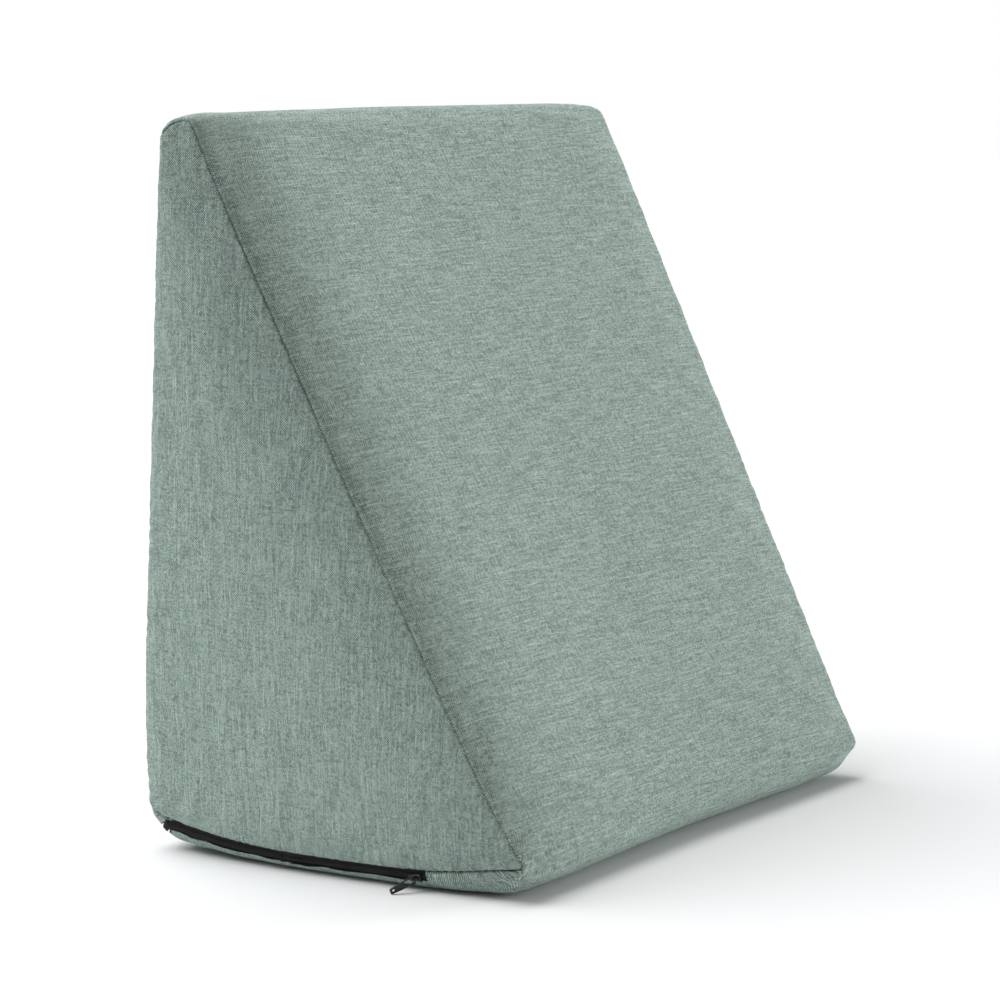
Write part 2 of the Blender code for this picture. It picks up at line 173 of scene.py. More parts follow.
def combine(item: bpy.types.Object, other: bpy.types.Object, operation: str) -> None:
    """Join a second object to the first, or cut it away.

    Args:
        item: The object that stays.
        other: The second object, which is gone afterwards.
        operation: UNION or DIFFERENCE.
    """
    modifier = item.modifiers.new("Combine", "BOOLEAN")
    modifier.operation = operation
    modifier.solver = "EXACT"
    modifier.object = other
    apply_modifier(item, modifier)
    bpy.data.objects.remove(other, do_unlink=True)


def dress(item: bpy.types.Object, material: bpy.types.Material) -> None:
    """Give an object one material alone.

    Args:
        item: The object.
        material: Its material.
    """
    item.data.materials.clear()
    item.data.materials.append(material)


def points_tree(points: Iterable[Sequence[float]]) -> KDTree:
    """Return a search tree over points.

    Args:
        points: The points, one row each.

    Returns:
        The tree, for finding the nearest one.
    """
    rows = list(points)
    tree = KDTree(len(rows))
    for index, point in enumerate(rows):
        tree.insert(Vector(point), index)
    tree.balance()
    return tree


def mesh_object(
    name: str, points: Iterable[Sequence[float]], faces: Iterable[Sequence[int]]
) -> bpy.types.Object:
    """Make an object from points and faces.

    Args:
        name: The object's name.
        points: The places of its vertices.
        faces: The vertex numbers of each face.

    Returns:
        The new object, in the scene.
    """
    mesh = bpy.data.meshes.new(name)
    mesh.from_pydata([tuple(point) for point in points], [], [tuple(face) for face in faces])
    item = bpy.data.objects.new(name, mesh)
    bpy.context.scene.collection.objects.link(item)
    return item


def merged_copy(frame: dict[str, Any], node: str) -> bmesh.types.BMesh:
    """Return the joined-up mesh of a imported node, whose triangles come loose.

    Args:
        frame: The loaded frame.
        node: The node's name.

    Returns:
        A bmesh in the row frame.
    """
    edit = bmesh.new()
    edit.from_mesh(frame["nodes"][node].data)
    bmesh.ops.remove_doubles(edit, verts=edit.verts, dist=MERGE_DISTANCE)
    return edit


def tree_of(frame: dict[str, Any], nodes: Sequence[str]) -> BVHTree:
    """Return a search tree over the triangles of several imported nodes.

    Args:
        frame: The loaded frame.
        nodes: The nodes' names.

    Returns:
        The tree, for casting rays at them.
    """
    points: list[Vector] = []
    faces: list[list[int]] = []
    for node in nodes:
        edit = merged_copy(frame, node)
        start = len(points)
        points.extend(vertex.co.copy() for vertex in edit.verts)
        faces.extend([start + vertex.index for vertex in face.verts] for face in edit.faces)
        edit.free()
    return BVHTree.FromPolygons(points, faces)


def smooth_step(value: np.ndarray) -> np.ndarray:
    """Return values eased from 0 at 0 to 1 at 1."""
    value = np.clip(value, 0.0, 1.0)
    return value * value * (3.0 - 2.0 * value)


def eased(value: np.ndarray, start: float, spread: float) -> np.ndarray:
    """Return values eased from 0 at the start to 1 a spread further on."""
    return smooth_step((value - start) / spread)


class Graph:
    """A material's node tree, with short ways to add nodes and link them."""

    def __init__(self, name: str) -> None:
        """Start a material that holds only its shader.

        Args:
            name: The material's name.
        """
        self.material = bpy.data.materials.new(name)
        self.material.use_nodes = True
        self.tree = self.material.node_tree
        self.shader = self.tree.nodes["Principled BSDF"]

    def node(self, kind: str, inputs: dict[Any, Any] | None = None, **settings: Any) -> bpy.types.Node:
        """Add a node.

        Args:
            kind: The node's type.
            inputs: For each input, a socket to link or a value to set.
            settings: The node's own properties.

        Returns:
            The new node.
        """
        made = self.tree.nodes.new(kind)
        for key, value in settings.items():
            setattr(made, key, value)
        for key, value in (inputs or {}).items():
            if isinstance(value, bpy.types.NodeSocket):
                self.tree.links.new(value, made.inputs[key])
            else:
                made.inputs[key].default_value = value
        return made

    def maths(self, operation: str, first: Any, second: Any = 0.0, third: Any = 0.0) -> bpy.types.NodeSocket:
        """Add a Math node and return its result."""
        inputs = {0: first, 1: second, 2: third}
        return self.node("ShaderNodeMath", inputs, operation=operation).outputs[0]

    def vector(self, x: Any, y: Any, z: Any = 0.0) -> bpy.types.NodeSocket:
        """Join three numbers into a vector."""
        return self.node("ShaderNodeCombineXYZ", {"X": x, "Y": y, "Z": z}).outputs[0]

    def noise(self, place: Any, scale: float, detail: float = 2.0) -> bpy.types.NodeSocket:
        """Add a Noise Texture and return its value."""
        inputs = {"Vector": place, "Scale": scale, "Detail": detail}
        return self.node("ShaderNodeTexNoise", inputs).outputs["Fac"]

    def ramp(self, value: Any, stops: Sequence[tuple[float, Sequence[float]]]) -> bpy.types.NodeSocket:
        """Map a number to colours.

        Args:
            value: The number, from 0 to 1.
            stops: Positions and their linear colours.

        Returns:
            The colour.
        """
        made = self.node("ShaderNodeValToRGB", {"Fac": value})
        ramp = made.color_ramp
        for element, (position, colour) in zip(ramp.elements, (stops[0], stops[-1])):
            element.position = position
            element.color = (*colour, 1.0)
        for position, colour in stops[1:-1]:
            ramp.elements.new(position).color = (*colour, 1.0)
        return made.outputs["Color"]

    def map_range(self, inputs: dict[str, Any], **settings: Any) -> bpy.types.NodeSocket:
        """Add a Map Range node and return its result."""
        return self.node("ShaderNodeMapRange", inputs, **settings).outputs[0]

    def mix(self, share: Any, first: Any, second: Any, blend: str = "MIX") -> bpy.types.NodeSocket:
        """Blend two colours."""
        inputs = {0: share, 6: first, 7: second}
        made = self.node("ShaderNodeMix", inputs, data_type="RGBA", blend_type=blend)
        return made.outputs[2]

    def link(self, value: bpy.types.NodeSocket, socket: str) -> None:
        """Link a result to one of the shader's sockets."""
        self.tree.links.new(value, self.shader.inputs[socket])

    def bump(self, height: Any, strength: float, distance: float) -> None:
        """Raise the surface by a height from 0 to 1.

        Args:
            height: The height socket.
            strength: The bump's strength.
            distance: The real height in metres.
        """
        inputs = {"Strength": strength, "Distance": distance, "Height": height}
        self.link(self.node("ShaderNodeBump", inputs).outputs["Normal"], "Normal")


@dataclass(frozen=True)
class MelangeCloth:
    """A plain weave of flecked yarns, in metres on the piece's own UV map.

    V runs along the slubby warp and U along the finer weft.
    """

    name: str = "melange_cloth"
    warp_pitch: float = 0.00084
    weft_pitch: float = 0.00084
    dark: tuple[float, float, float] = (0.115, 0.160, 0.139)
    middle: tuple[float, float, float] = (0.259, 0.352, 0.309)
    light: tuple[float, float, float] = (0.510, 0.635, 0.575)
    seam_shadow: tuple[float, float, float] = (0.10, 0.16, 0.13)
    seam_shadow_width: float = 0.0012
    yarn_height: float = 0.00022
    wander: float = 2.2
    warp_share: float = 0.45
    check_contrast: float = 0.50
    drift_scale: float = 28.0
    warp_run: tuple[float, float, float] = (0.030, 0.16, 3.7)
    weft_run: tuple[float, float, float] = (0.050, 0.24, 41.3)
    lane_step: float = 1.37
    tuft_step: float = 7.3
    slub_contrast: float = 1.45
    tuft_contrast: float = 0.70
    fleck_contrast: float = 0.50
    cloud_scale: float = 16.0
    cloud_contrast: float = 0.10
    valley_light: float = 0.78
    crown_light: float = 0.30
    bump_strength: float = 0.40
    shade_stops: tuple[float, float, float] = (0.12, 0.50, 0.90)
    roughness: float = 0.88
    specular: float = 0.22
    sheen: float = 0.14
    sheen_roughness: float = 0.45
    sheen_tint: tuple[float, float, float, float] = (0.78, 0.90, 0.84, 1.0)

    def material(self) -> bpy.types.Material:
        """Build the material.

        Returns:
            The finished material.
        """
        graph = Graph(self.name)
        place = graph.node("ShaderNodeUVMap", uv_map="cloth").outputs[0]
        parts = graph.node("ShaderNodeSeparateXYZ", {"Vector": place}).outputs
        drift = graph.maths("SUBTRACT", graph.noise(place, self.drift_scale), 0.5)
        across = self.yarns(graph, parts["X"], drift, self.warp_pitch)
        along = self.yarns(graph, parts["Y"], drift, self.weft_pitch)
        warp, warp_fraction = self.split(graph, across)
        weft, weft_fraction = self.split(graph, along)
        warp_shade = self.yarn_shade(graph, warp, along, *self.warp_run)
        weft_shade = self.yarn_shade(graph, weft, across, *self.weft_run)
        parity = graph.maths("PINGPONG", graph.maths("ADD", warp, weft), 1.0)
        square = {"Vector": graph.vector(warp, weft)}
        crossing = graph.node("ShaderNodeTexWhiteNoise", square).outputs["Value"]
        shade = graph.node("ShaderNodeMix", {0: parity, 2: warp_shade, 3: weft_shade}).outputs[0]
        shade = graph.node("ShaderNodeMix", {0: self.warp_share, 2: shade, 3: warp_shade}).outputs[0]
        check = graph.maths("MULTIPLY_ADD", parity, self.check_contrast, -self.check_contrast / 2)
        shade = graph.maths("ADD", shade, check)
        fleck = graph.maths("MULTIPLY", graph.maths("SUBTRACT", crossing, 0.5), self.fleck_contrast)
        patch = graph.maths("SUBTRACT", graph.noise(place, self.cloud_scale, 4.0), 0.5)
        cloud = graph.maths("MULTIPLY", patch, self.cloud_contrast)
        shade = graph.maths("ADD", graph.maths("ADD", shade, fleck), cloud)
        colours = (self.dark, self.middle, self.light)
        colour = graph.ramp(shade, list(zip(self.shade_stops, colours)))
        crown = self.crown(graph, warp_fraction, weft_fraction)
        shadow = graph.maths("MULTIPLY_ADD", crown, self.crown_light, self.valley_light)
        colour = graph.mix(1.0, colour, graph.vector(shadow, shadow, shadow), "MULTIPLY")
        graph.link(self.shade_seam(graph, colour), "Base Color")
        graph.bump(crown, self.bump_strength, self.yarn_height)
        graph.shader.inputs["Roughness"].default_value = self.roughness
        graph.shader.inputs["Specular IOR Level"].default_value = self.specular
        graph.shader.inputs["Sheen Weight"].default_value = self.sheen
        graph.shader.inputs["Sheen Roughness"].default_value = self.sheen_roughness
        graph.shader.inputs["Sheen Tint"].default_value = self.sheen_tint
        return graph.material

    def yarns(self, graph: Graph, metres: Any, drift: Any, pitch: float) -> bpy.types.NodeSocket:
        """Turn metres into a count of yarns that wander a little.

        Args:
            graph: The material's graph.
            metres: The place across the yarns.
            drift: A slow noise about zero.
            pitch: The distance between yarns.

        Returns:
            The count, with its fraction.
        """
        count = graph.maths("DIVIDE", metres, pitch)
        return graph.maths("MULTIPLY_ADD", drift, self.wander, count)

    def split(self, graph: Graph, count: Any) -> tuple[bpy.types.NodeSocket, bpy.types.NodeSocket]:
        """Return a yarn's whole number and the place across it."""
        return graph.maths("FLOOR", count), graph.maths("FRACT", count)

    def yarn_shade(
        self, graph: Graph, yarn: Any, run: Any, slow: float, fast: float, seed: float
    ) -> bpy.types.NodeSocket:
        """Return a yarn's own shade, which changes in long slubs and in short flecks.

        Args:
            graph: The material's graph.
            yarn: The yarn's number.
            run: The place along it, in crossings.
            slow: Slubs for each crossing.
            fast: Flecks for each crossing.
            seed: Sets one family of yarns apart from the other.

        Returns:
            A shade about one half.
        """
        lane = graph.maths("MULTIPLY_ADD", yarn, self.lane_step, seed)
        slub = graph.noise(graph.vector(lane, graph.maths("MULTIPLY", run, slow)), 1.0, 2.0)
        far_lane = graph.maths("MULTIPLY", lane, self.tuft_step)
        tuft = graph.noise(graph.vector(far_lane, graph.maths("MULTIPLY", run, fast)), 1.0)
        both = graph.maths("MULTIPLY_ADD", graph.maths("SUBTRACT", slub, 0.5), self.slub_contrast, 0.5)
        return graph.maths("MULTIPLY_ADD", graph.maths("SUBTRACT", tuft, 0.5), self.tuft_contrast, both)

    def crown(self, graph: Graph, warp_fraction: Any, weft_fraction: Any) -> bpy.types.NodeSocket:
        """Return the rounded height of the yarn that lies on top."""
        arches = []
        for fraction in (warp_fraction, weft_fraction):
            arches.append(graph.maths("SINE", graph.maths("MULTIPLY", fraction, math.pi)))
        return graph.maths("MULTIPLY", arches[0], arches[1])

    def shade_seam(self, graph: Graph, colour: Any) -> bpy.types.NodeSocket:
        """Paint shade into the cloth's colour: a painted shadow line where it dives into a seam, and the
        painted shade beside the left slope seam.

        Args:
            graph: The material's graph.
            colour: The cloth's colour.

        Returns:
            The colour with the painted shade and the painted seam shadow.
        """
        gap = graph.node("ShaderNodeAttribute", attribute_name="seam_gap").outputs["Fac"]
        limits = {"Value": gap, "From Max": self.seam_shadow_width, "To Min": 1.0, "To Max": 0.0}
        near = graph.map_range(limits, interpolation_type="SMOOTHSTEP")
        # Painted shade from a vertex attribute: darker beside the left slope seam and towards the top.
        painted_shade = graph.node("ShaderNodeAttribute", attribute_name="painted_cloth_shade").outputs["Fac"]
        colour = graph.mix(1.0, colour, graph.vector(painted_shade, painted_shade, painted_shade), "MULTIPLY")
        # Painted shadow line along the seams.
        return graph.mix(near, colour, (*self.seam_shadow, 1.0), "MULTIPLY")


@dataclass(frozen=True)
class ZipTapeCloth:
    """The black ribbed tape of the zip."""

    name: str = "zip_tape_cloth"
    rib_pitch: float = 0.0007
    rib_height: float = 0.00015
    rib_strength: float = 0.6
    roughness: float = 0.82
    fuzz_scale: float = 2600.0
    dark: tuple[float, float, float] = (0.004, 0.004, 0.004)
    light: tuple[float, float, float] = (0.016, 0.015, 0.016)

    def material(self) -> bpy.types.Material:
        """Build the material.

        Returns:
            The finished material.
        """
        graph = Graph(self.name)
        place = graph.node("ShaderNodeTexCoord").outputs["Object"]
        parts = graph.node("ShaderNodeSeparateXYZ", {"Vector": place}).outputs
        run = graph.maths("SUBTRACT", parts["X"], parts["Y"])
        rib = graph.maths("SINE", graph.maths("MULTIPLY", run, 2 * math.pi / self.rib_pitch))
        rib = graph.maths("MULTIPLY_ADD", rib, 0.5, 0.5)
        fuzz = graph.noise(place, self.fuzz_scale)
        height = graph.maths("MULTIPLY_ADD", fuzz, 0.5, rib)
        graph.link(graph.ramp(height, [(0.1, self.dark), (1.0, self.light)]), "Base Color")
        graph.bump(height, self.rib_strength, self.rib_height)
        graph.shader.inputs["Roughness"].default_value = self.roughness
        return graph.material


@dataclass(frozen=True)
class CoilNylon:
    """The black nylon of the zip's coil."""

    name: str = "coil_nylon"
    streak_scale: float = 1500.0
    roughness: tuple[float, float] = (0.26, 0.44)
    dark: tuple[float, float, float] = (0.006, 0.006, 0.006)
    light: tuple[float, float, float] = (0.018, 0.017, 0.018)

    def material(self) -> bpy.types.Material:
        """Build the material.

        Returns:
            The finished material.
        """
        graph = Graph(self.name)
        place = graph.node("ShaderNodeTexCoord").outputs["Object"]
        streak = graph.noise(place, self.streak_scale)
        graph.link(graph.ramp(streak, [(0.3, self.dark), (0.7, self.light)]), "Base Color")
        least, most = self.roughness
        graph.link(graph.map_range({"Value": streak, "To Min": least, "To Max": most}), "Roughness")
        return graph.material


@dataclass(frozen=True)
class BlackLacquer:
    """The black lacquer on the slider and the pull, rubbed a little along its edges."""

    name: str = "black_lacquer"
    grain_scale: float = 900.0
    grain_height: float = 0.00005
    grain_strength: float = 0.15
    roughness: tuple[float, float] = (0.28, 0.46)
    metallic: float = 0.35
    coat: float = 0.25
    worn_edge: tuple[float, float] = (0.52, 0.60)
    dark: tuple[float, float, float] = (0.012, 0.012, 0.013)
    rubbed: tuple[float, float, float] = (0.060, 0.058, 0.060)

    def material(self) -> bpy.types.Material:
        """Build the material.

        Returns:
            The finished material.
        """
        graph = Graph(self.name)
        place = graph.node("ShaderNodeTexCoord").outputs["Object"]
        grain = graph.noise(place, self.grain_scale, 4.0)
        pointed = graph.node("ShaderNodeNewGeometry").outputs["Pointiness"]
        start, end = self.worn_edge
        edge = graph.map_range({"Value": pointed, "From Min": start, "From Max": end})
        worn = graph.maths("MULTIPLY", edge, grain)
        graph.link(graph.ramp(worn, [(0.1, self.dark), (0.8, self.rubbed)]), "Base Color")
        least, most = self.roughness
        graph.link(graph.map_range({"Value": grain, "To Min": least, "To Max": most}), "Roughness")
        graph.bump(grain, self.grain_strength, self.grain_height)
        graph.shader.inputs["Metallic"].default_value = self.metallic
        graph.shader.inputs["Coat Weight"].default_value = self.coat
        return graph.material


@dataclass(frozen=True)
class PaleFloor:
    """The plain pale studio floor."""

    name: str = "pale_floor"
    colour: tuple[float, float, float] = (0.81, 0.81, 0.82)
    cloud_scale: float = 0.8
    cloud_lift: float = 1.01
    roughness: float = 0.7

    def material(self) -> bpy.types.Material:
        """Build the material.

        Returns:
            The finished material.
        """
        graph = Graph(self.name)
        place = graph.node("ShaderNodeTexCoord").outputs["Object"]
        shade = graph.noise(place, self.cloud_scale)
        lighter = tuple(min(1.0, part * self.cloud_lift) for part in self.colour)
        graph.link(graph.ramp(shade, [(0.3, self.colour), (0.7, lighter)]), "Base Color")
        graph.shader.inputs["Roughness"].default_value = self.roughness
        return graph.material


@dataclass
class ZipRoute:
    """The zip's middle line and its directions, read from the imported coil."""

    frame: dict[str, Any]
    section_points: int = 6
    sideways_share: float = 0.2
    middle_height: float = 0.15
    points: np.ndarray = field(init=False)
    frames: np.ndarray = field(init=False)
    lengths: np.ndarray = field(init=False)

    def __post_init__(self) -> None:
        """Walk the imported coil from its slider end, section by section."""
        edit = merged_copy(self.frame, "zip_coil")
        sections = self.walk(edit)
        edit.free()
        self.points = np.array([section.mean(axis=0) for section in sections])
        self.frames = self.directions(sections)
        steps = np.linalg.norm(np.diff(self.points, axis=0), axis=1)
        self.lengths = np.concatenate([[0.0], np.cumsum(steps)])

    def walk(self, edit: bmesh.types.BMesh) -> list[np.ndarray]:
        """Return the coil's sections in order.

        Args:
            edit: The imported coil, joined up.

        Returns:
            The corner points of each section.
        """
        edit.verts.ensure_lookup_table()
        start = min(edit.verts, key=lambda vertex: vertex.co.y).co
        nearest = sorted(edit.verts, key=lambda vertex: self.gap_from_end(vertex.co - start))
        layer = nearest[: self.section_points]
        seen = {vertex.index for vertex in layer}
        sections = []
        while layer:
            sections.append(np.array([tuple(vertex.co) for vertex in layer]))
            following = []
            for vertex in layer:
                for edge in vertex.link_edges:
                    other = edge.other_vert(vertex)
                    if other.index not in seen:
                        seen.add(other.index)
                        following.append(other)
            layer = following
        return sections

    def gap_from_end(self, offset: Vector) -> float:
        """Return how far an offset leads from the coil's end, its part along Y counting most."""
        return abs(offset.y) + self.sideways_share * offset.length

    def directions(self, sections: list[np.ndarray]) -> np.ndarray:
        """Return the along, up and out directions at each section.

        Args:
            sections: The corner points of each section.

        Returns:
            A 3 by 3 array for each section, its rows being along, up and out.
        """
        ends = np.vstack([self.points[:1], self.points, self.points[-1:]])
        alongs = ends[2:] - ends[:-2]
        alongs /= np.linalg.norm(alongs, axis=1, keepdims=True)
        found = []
        for centre, along, section in zip(self.points, alongs, sections):
            widest = np.linalg.svd(section - centre)[2][0]
            up = widest - along * (widest @ along)
            up /= np.linalg.norm(up)
            up *= 1.0 if up[2] > 0 else -1.0
            out = np.cross(along, up)
            away = centre - np.array([0.0, 0.0, self.middle_height])
            out *= 1.0 if out @ away > 0 else -1.0
            found.append([along, up, out])
        return np.array(found)

    @property
    def length(self) -> float:
        """Return the route's length."""
        return float(self.lengths[-1])

    def at(self, distance: float) -> tuple[np.ndarray, np.ndarray]:
        """Return the place and the directions at a distance from the slider's end.

        Args:
            distance: Metres along the route.

        Returns:
            The place, and a 3 by 3 array whose rows are along, up and out.
        """
        place = np.array([np.interp(distance, self.lengths, self.points[:, axis]) for axis in range(3)])
        rows = []
        for row in Channel:
            parts = [np.interp(distance, self.lengths, self.frames[:, row.value, axis]) for axis in range(3)]
            rows.append(np.array(parts) / np.linalg.norm(parts))
        return place, np.array(rows)

    def sweep(
        self, name: str, section: Sequence[tuple[float, float]], grow: float, step: float
    ) -> bpy.types.Object:
        """Make a closed bar along the whole route.

        Args:
            name: The bar's name.
            section: Its corners, up and out of the route.
            grow: How far it runs past both ends.
            step: The distance between its sections.

        Returns:
            The bar.
        """
        count = max(2, int(self.length / step))
        distances = np.linspace(0.0, self.length, count)
        points = []
        for index, distance in enumerate(distances):
            place, (along, up, out) = self.at(float(distance))
            shift = {0: -grow, count - 1: grow}.get(index, 0.0)
            points.extend(place + along * shift + up * width + out * height for width, height in section)
        size = len(section)
        last = (count - 1) * size
        faces = [list(range(size))[::-1], list(range(last, last + size))]
        for low in range(0, last, size):
            for corner in range(size):
                following = (corner + 1) % size
                faces.append([low + corner, low + following, low + size + following, low + size + corner])
        item = mesh_object(name, points, faces)
        point_outwards(item)
        return item


@dataclass
class Crease:
    """A soft fold of the cloth, as a trough with a low ridge beside it."""

    points: tuple[tuple[float, float, float], ...]
    depth: float
    width: float
    reach_widths: float = 3.5
    lip_share: float = 0.45
    lip_gap: float = 1.7
    lip_spread: float = 0.6
    end_fade: float = 0.6

    def curve(self, count: int = 40) -> np.ndarray:
        """Return points along the fold, as a smooth curve through its own points."""
        knots = [Vector(point) for point in self.points]
        ends = [knots[0] * 2 - knots[1], *knots, knots[-1] * 2 - knots[-2]]
        steps = count // (len(knots) - 1)
        found = []
        for before, start, end, after in zip(ends, ends[1:], ends[2:], ends[3:]):
            for step in range(steps):
                share = step / steps
                bend = (2 * before - 5 * start + 4 * end - after) * share * share
                twist = (3 * start - before - 3 * end + after) * share * share * share
                found.append(0.5 * (2 * start + (end - before) * share + bend + twist))
        return np.array([tuple(point) for point in found + [knots[-1]]])

    def push(self, places: np.ndarray) -> np.ndarray:
        """Return how far each place is pushed in.

        Args:
            places: One row for each vertex.

        Returns:
            The depth at each vertex, fading out towards the fold's ends.
        """
        line = self.curve()
        reach = self.reach_widths * self.width
        low, high = line.min(axis=0) - reach, line.max(axis=0) + reach
        near = np.where(np.all((places > low) & (places < high), axis=1))[0]
        pushed = np.zeros(len(places))
        gaps = np.linalg.norm(places[near, None, :] - line[None, :, :], axis=2)
        nearest = gaps.argmin(axis=1)
        gap = gaps.min(axis=1) / self.width
        share = nearest / (len(line) - 1)
        fade = np.sin(np.pi * np.clip(share, 0.02, 0.98)) ** self.end_fade
        lip = self.lip_share * np.exp(-((gap - self.lip_gap) ** 2) / self.lip_spread)
        pushed[near] = self.depth * (np.exp(-gap * gap) - lip) * fade
        return pushed


@dataclass
class CoverSack:
    """The whole cover as one closed sheet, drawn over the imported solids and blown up."""

    frame: dict[str, Any]
    route: ZipRoute
    around: int = 240
    half_width: float = 0.2436
    centre_shares: tuple[float, float] = (0.58, 0.30)
    zip_channel: tuple[float, float] = (0.0019, 0.0065)
    shortest_ray: float = 0.02
    outline_rays: int = 721
    turn_spread: int = 13
    heal_rounds: int = 300
    heal_shares: tuple[float, float] = (0.3, 0.7)
    even_rounds: int = 2
    even_shares: tuple[float, float] = (0.17, 0.66)
    even_rings: float = 6.0
    rim_search: tuple[float, float, float] = (0.2350, 0.2505, 0.0003)
    rim_round: float = 0.0004
    panel_gap: float = 0.0002
    bend_weight: float = 0.030
    apex_angle: float = 1.325
    apex_width: float = 0.050
    apex_height: float = 0.0036
    apex_fade: float = 0.020
    near_seam: tuple[float, ...] = (0.0, 0.0010, 0.0022, 0.0037, 0.0056, 0.0080, 0.0110, 0.0150, 0.0200)
    ring_gap: float = 0.0074
    panel_near_seam: tuple[float, ...] = (0.0010, 0.0022, 0.0037, 0.0056, 0.0080, 0.0110, 0.0150, 0.0195)
    panel_ring_gap: float = 0.0052
    panel_core: float = 0.30
    held_by_seam: float = 0.030
    start_inside: float = 0.0010
    most_sinking: float = 0.0004
    pressure: float = 4.0
    cloth_quality: int = 4
    cloth_mass: float = 0.3
    cloth_stiffness: float = 12.0
    cloth_shear: float = 6.0
    cloth_bending: float = 0.8
    frames: int = 20
    most_movement: float = 0.0034
    foot_lift: float = 0.0008
    foot_fade: float = 0.006
    seam_depth: float = 0.0026
    seam_width: float = 0.0011
    pucker_height: float = 0.00042
    pucker_gap: float = 0.0105
    pucker_reach: float = 0.0085
    pucker_noise: tuple[float, float] = (40.0, 0.3)
    pucker_wander: float = 4.0
    pucker_least: float = 0.6
    slack_height: float = 0.0005
    slack_scale: float = 9.0
    slack_start: float = 0.02
    ray_start: float = 0.7
    base_band: float = 0.0006
    seam_shares: tuple[float, ...] = (0.0, 0.2, 0.4, 0.6, 0.8)
    slope_crown: float = 0.0052
    crown_rise: float = 0.028
    crown_fall: float = 0.16
    dimple_height: float = 0.00062
    dimple_gap: float = 0.038
    dimple_reach: float = 0.017
    dimple_noise: tuple[float, float] = (17.0, 4.1)
    dimple_wander: float = 5.0
    dimple_slant: float = 0.6
    shade_reach: float = 0.060
    slope_seam_back: float = 0.115
    slope_seam_foot: float = 0.024
    front_facing: tuple[float, float] = (0.35, 0.3)
    panel_facing: tuple[float, float] = (0.6, 0.2)
    crown_facing: tuple[float, float] = (0.55, 0.3)
    crown_foot: tuple[float, float] = (0.06, 0.16)
    crown_top: tuple[float, float] = (0.99, 0.10)
    slope_shade: tuple[float, float] = (0.17, 0.17)
    panel_shade: tuple[float, float, float] = (0.20, 0.10, 0.35)
    creases: tuple[Crease, ...] = (
        Crease(((-0.249, 0.1130, 0.4663), (-0.249, 0.0997, 0.4685), (-0.249, 0.0849, 0.4675)),
               depth=0.0009, width=0.0035),
        Crease(((-0.249, 0.0937, 0.4242), (-0.249, 0.0813, 0.4304), (-0.249, 0.0673, 0.4380)),
               depth=0.0014, width=0.0070),
        Crease(((-0.249, 0.0865, 0.3496), (-0.249, 0.0740, 0.3574), (-0.249, 0.0551, 0.3667)),
               depth=0.0012, width=0.0080),
        Crease(((-0.226, -0.157, 0.034), (-0.224, -0.161, 0.022), (-0.232, -0.158, 0.012)),
               depth=0.0012, width=0.0030),
    )
    item: bpy.types.Object = field(init=False)
    rings: int = field(init=False)

    def build(self) -> bpy.types.Object:
        """Draw, blow up and detail the sack.

        Returns:
            The closed sack, with its ends marked by their material index.
        """
        self.read_frame()
        self.draw()
        self.blow_up()
        self.map_cloth()
        self.refine()
        self.sew()
        return self.item

    def read_frame(self) -> None:
        """Read the seams, the middle line and the rays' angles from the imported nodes."""
        self.wrap_tree = tree_of(self.frame, ["cushion", "zip_coil"])
        self.panel_trees = {side: tree_of(self.frame, [side.panel_node]) for side in Side}
        low, high = (np.array(corner)[1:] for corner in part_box(Side.LEFT.panel_node))
        self.centre = low + (high - low) * np.array(self.centre_shares)
        self.angles = self.spread_angles()
        self.seams = {side: self.rim(side, self.angles) for side in Side}
        for side in Side:
            self.seams[side][:, 1] += self.apex_lift(side)
        turns = np.append(self.angles, self.angles[0] + 2 * math.pi)
        self.column_run = self.middle_outline(turns)[1]

    def middle_outline(self, angles: np.ndarray) -> tuple[np.ndarray, np.ndarray]:
        """Return the wrap's outline half way along the cushion, and the distance along it.

        Args:
            angles: The rays' angles.

        Returns:
            The Y and Z of each point, and its distance from the first.
        """
        radii = np.array([self.cast(self.wrap_tree, 0.0, angle) for angle in angles])
        outline = self.centre + np.column_stack([radii * np.cos(angles), radii * np.sin(angles)])
        steps = np.linalg.norm(np.diff(outline, axis=0), axis=1)
        return outline, np.concatenate([[0.0], np.cumsum(steps)])

    def rim(self, side: Side, angles: np.ndarray) -> np.ndarray:
        """Return the outer rim of a packed end panel in each ray's direction.

        Args:
            side: The end.
            angles: The rays' angles.

        Returns:
            One row for each angle: X and the distance from the middle line.
        """
        depths = side.value * np.arange(*self.rim_search)
        found = []
        for angle in angles:
            radii = np.array([self.cast(self.panel_trees[side], x, angle) for x in depths])
            near = np.where(radii > radii.max() - self.rim_round)[0]
            found.append((depths[near[-1]], radii.max() + self.panel_gap))
        rim = np.array(found)
        rim[:, 0] = (np.roll(rim[:, 0], 1) + rim[:, 0] + np.roll(rim[:, 0], -1)) / 3
        return rim

    def spread_angles(self) -> np.ndarray:
        """Return the rays' angles, closer together where the outline turns."""
        fine = np.linspace(-math.pi / 2, 1.5 * math.pi, self.outline_rays)
        radii = self.rim(Side.LEFT, fine)[:, 1]
        outline = np.column_stack([radii * np.cos(fine), radii * np.sin(fine)])
        edges = np.diff(outline, axis=0)
        lengths = np.linalg.norm(edges, axis=1)
        headings = np.unwrap(np.arctan2(edges[:, 1], edges[:, 0]))
        padded = np.pad(headings, self.turn_spread // 2, mode="edge")
        even = np.convolve(padded, np.ones(self.turn_spread) / self.turn_spread, mode="valid")
        turns = np.abs(np.gradient(even))
        places = np.concatenate([[0.0], np.cumsum(lengths + self.bend_weight * turns)])
        wanted = np.arange(self.around) * places[-1] / self.around
        return np.interp(wanted, places, fine)

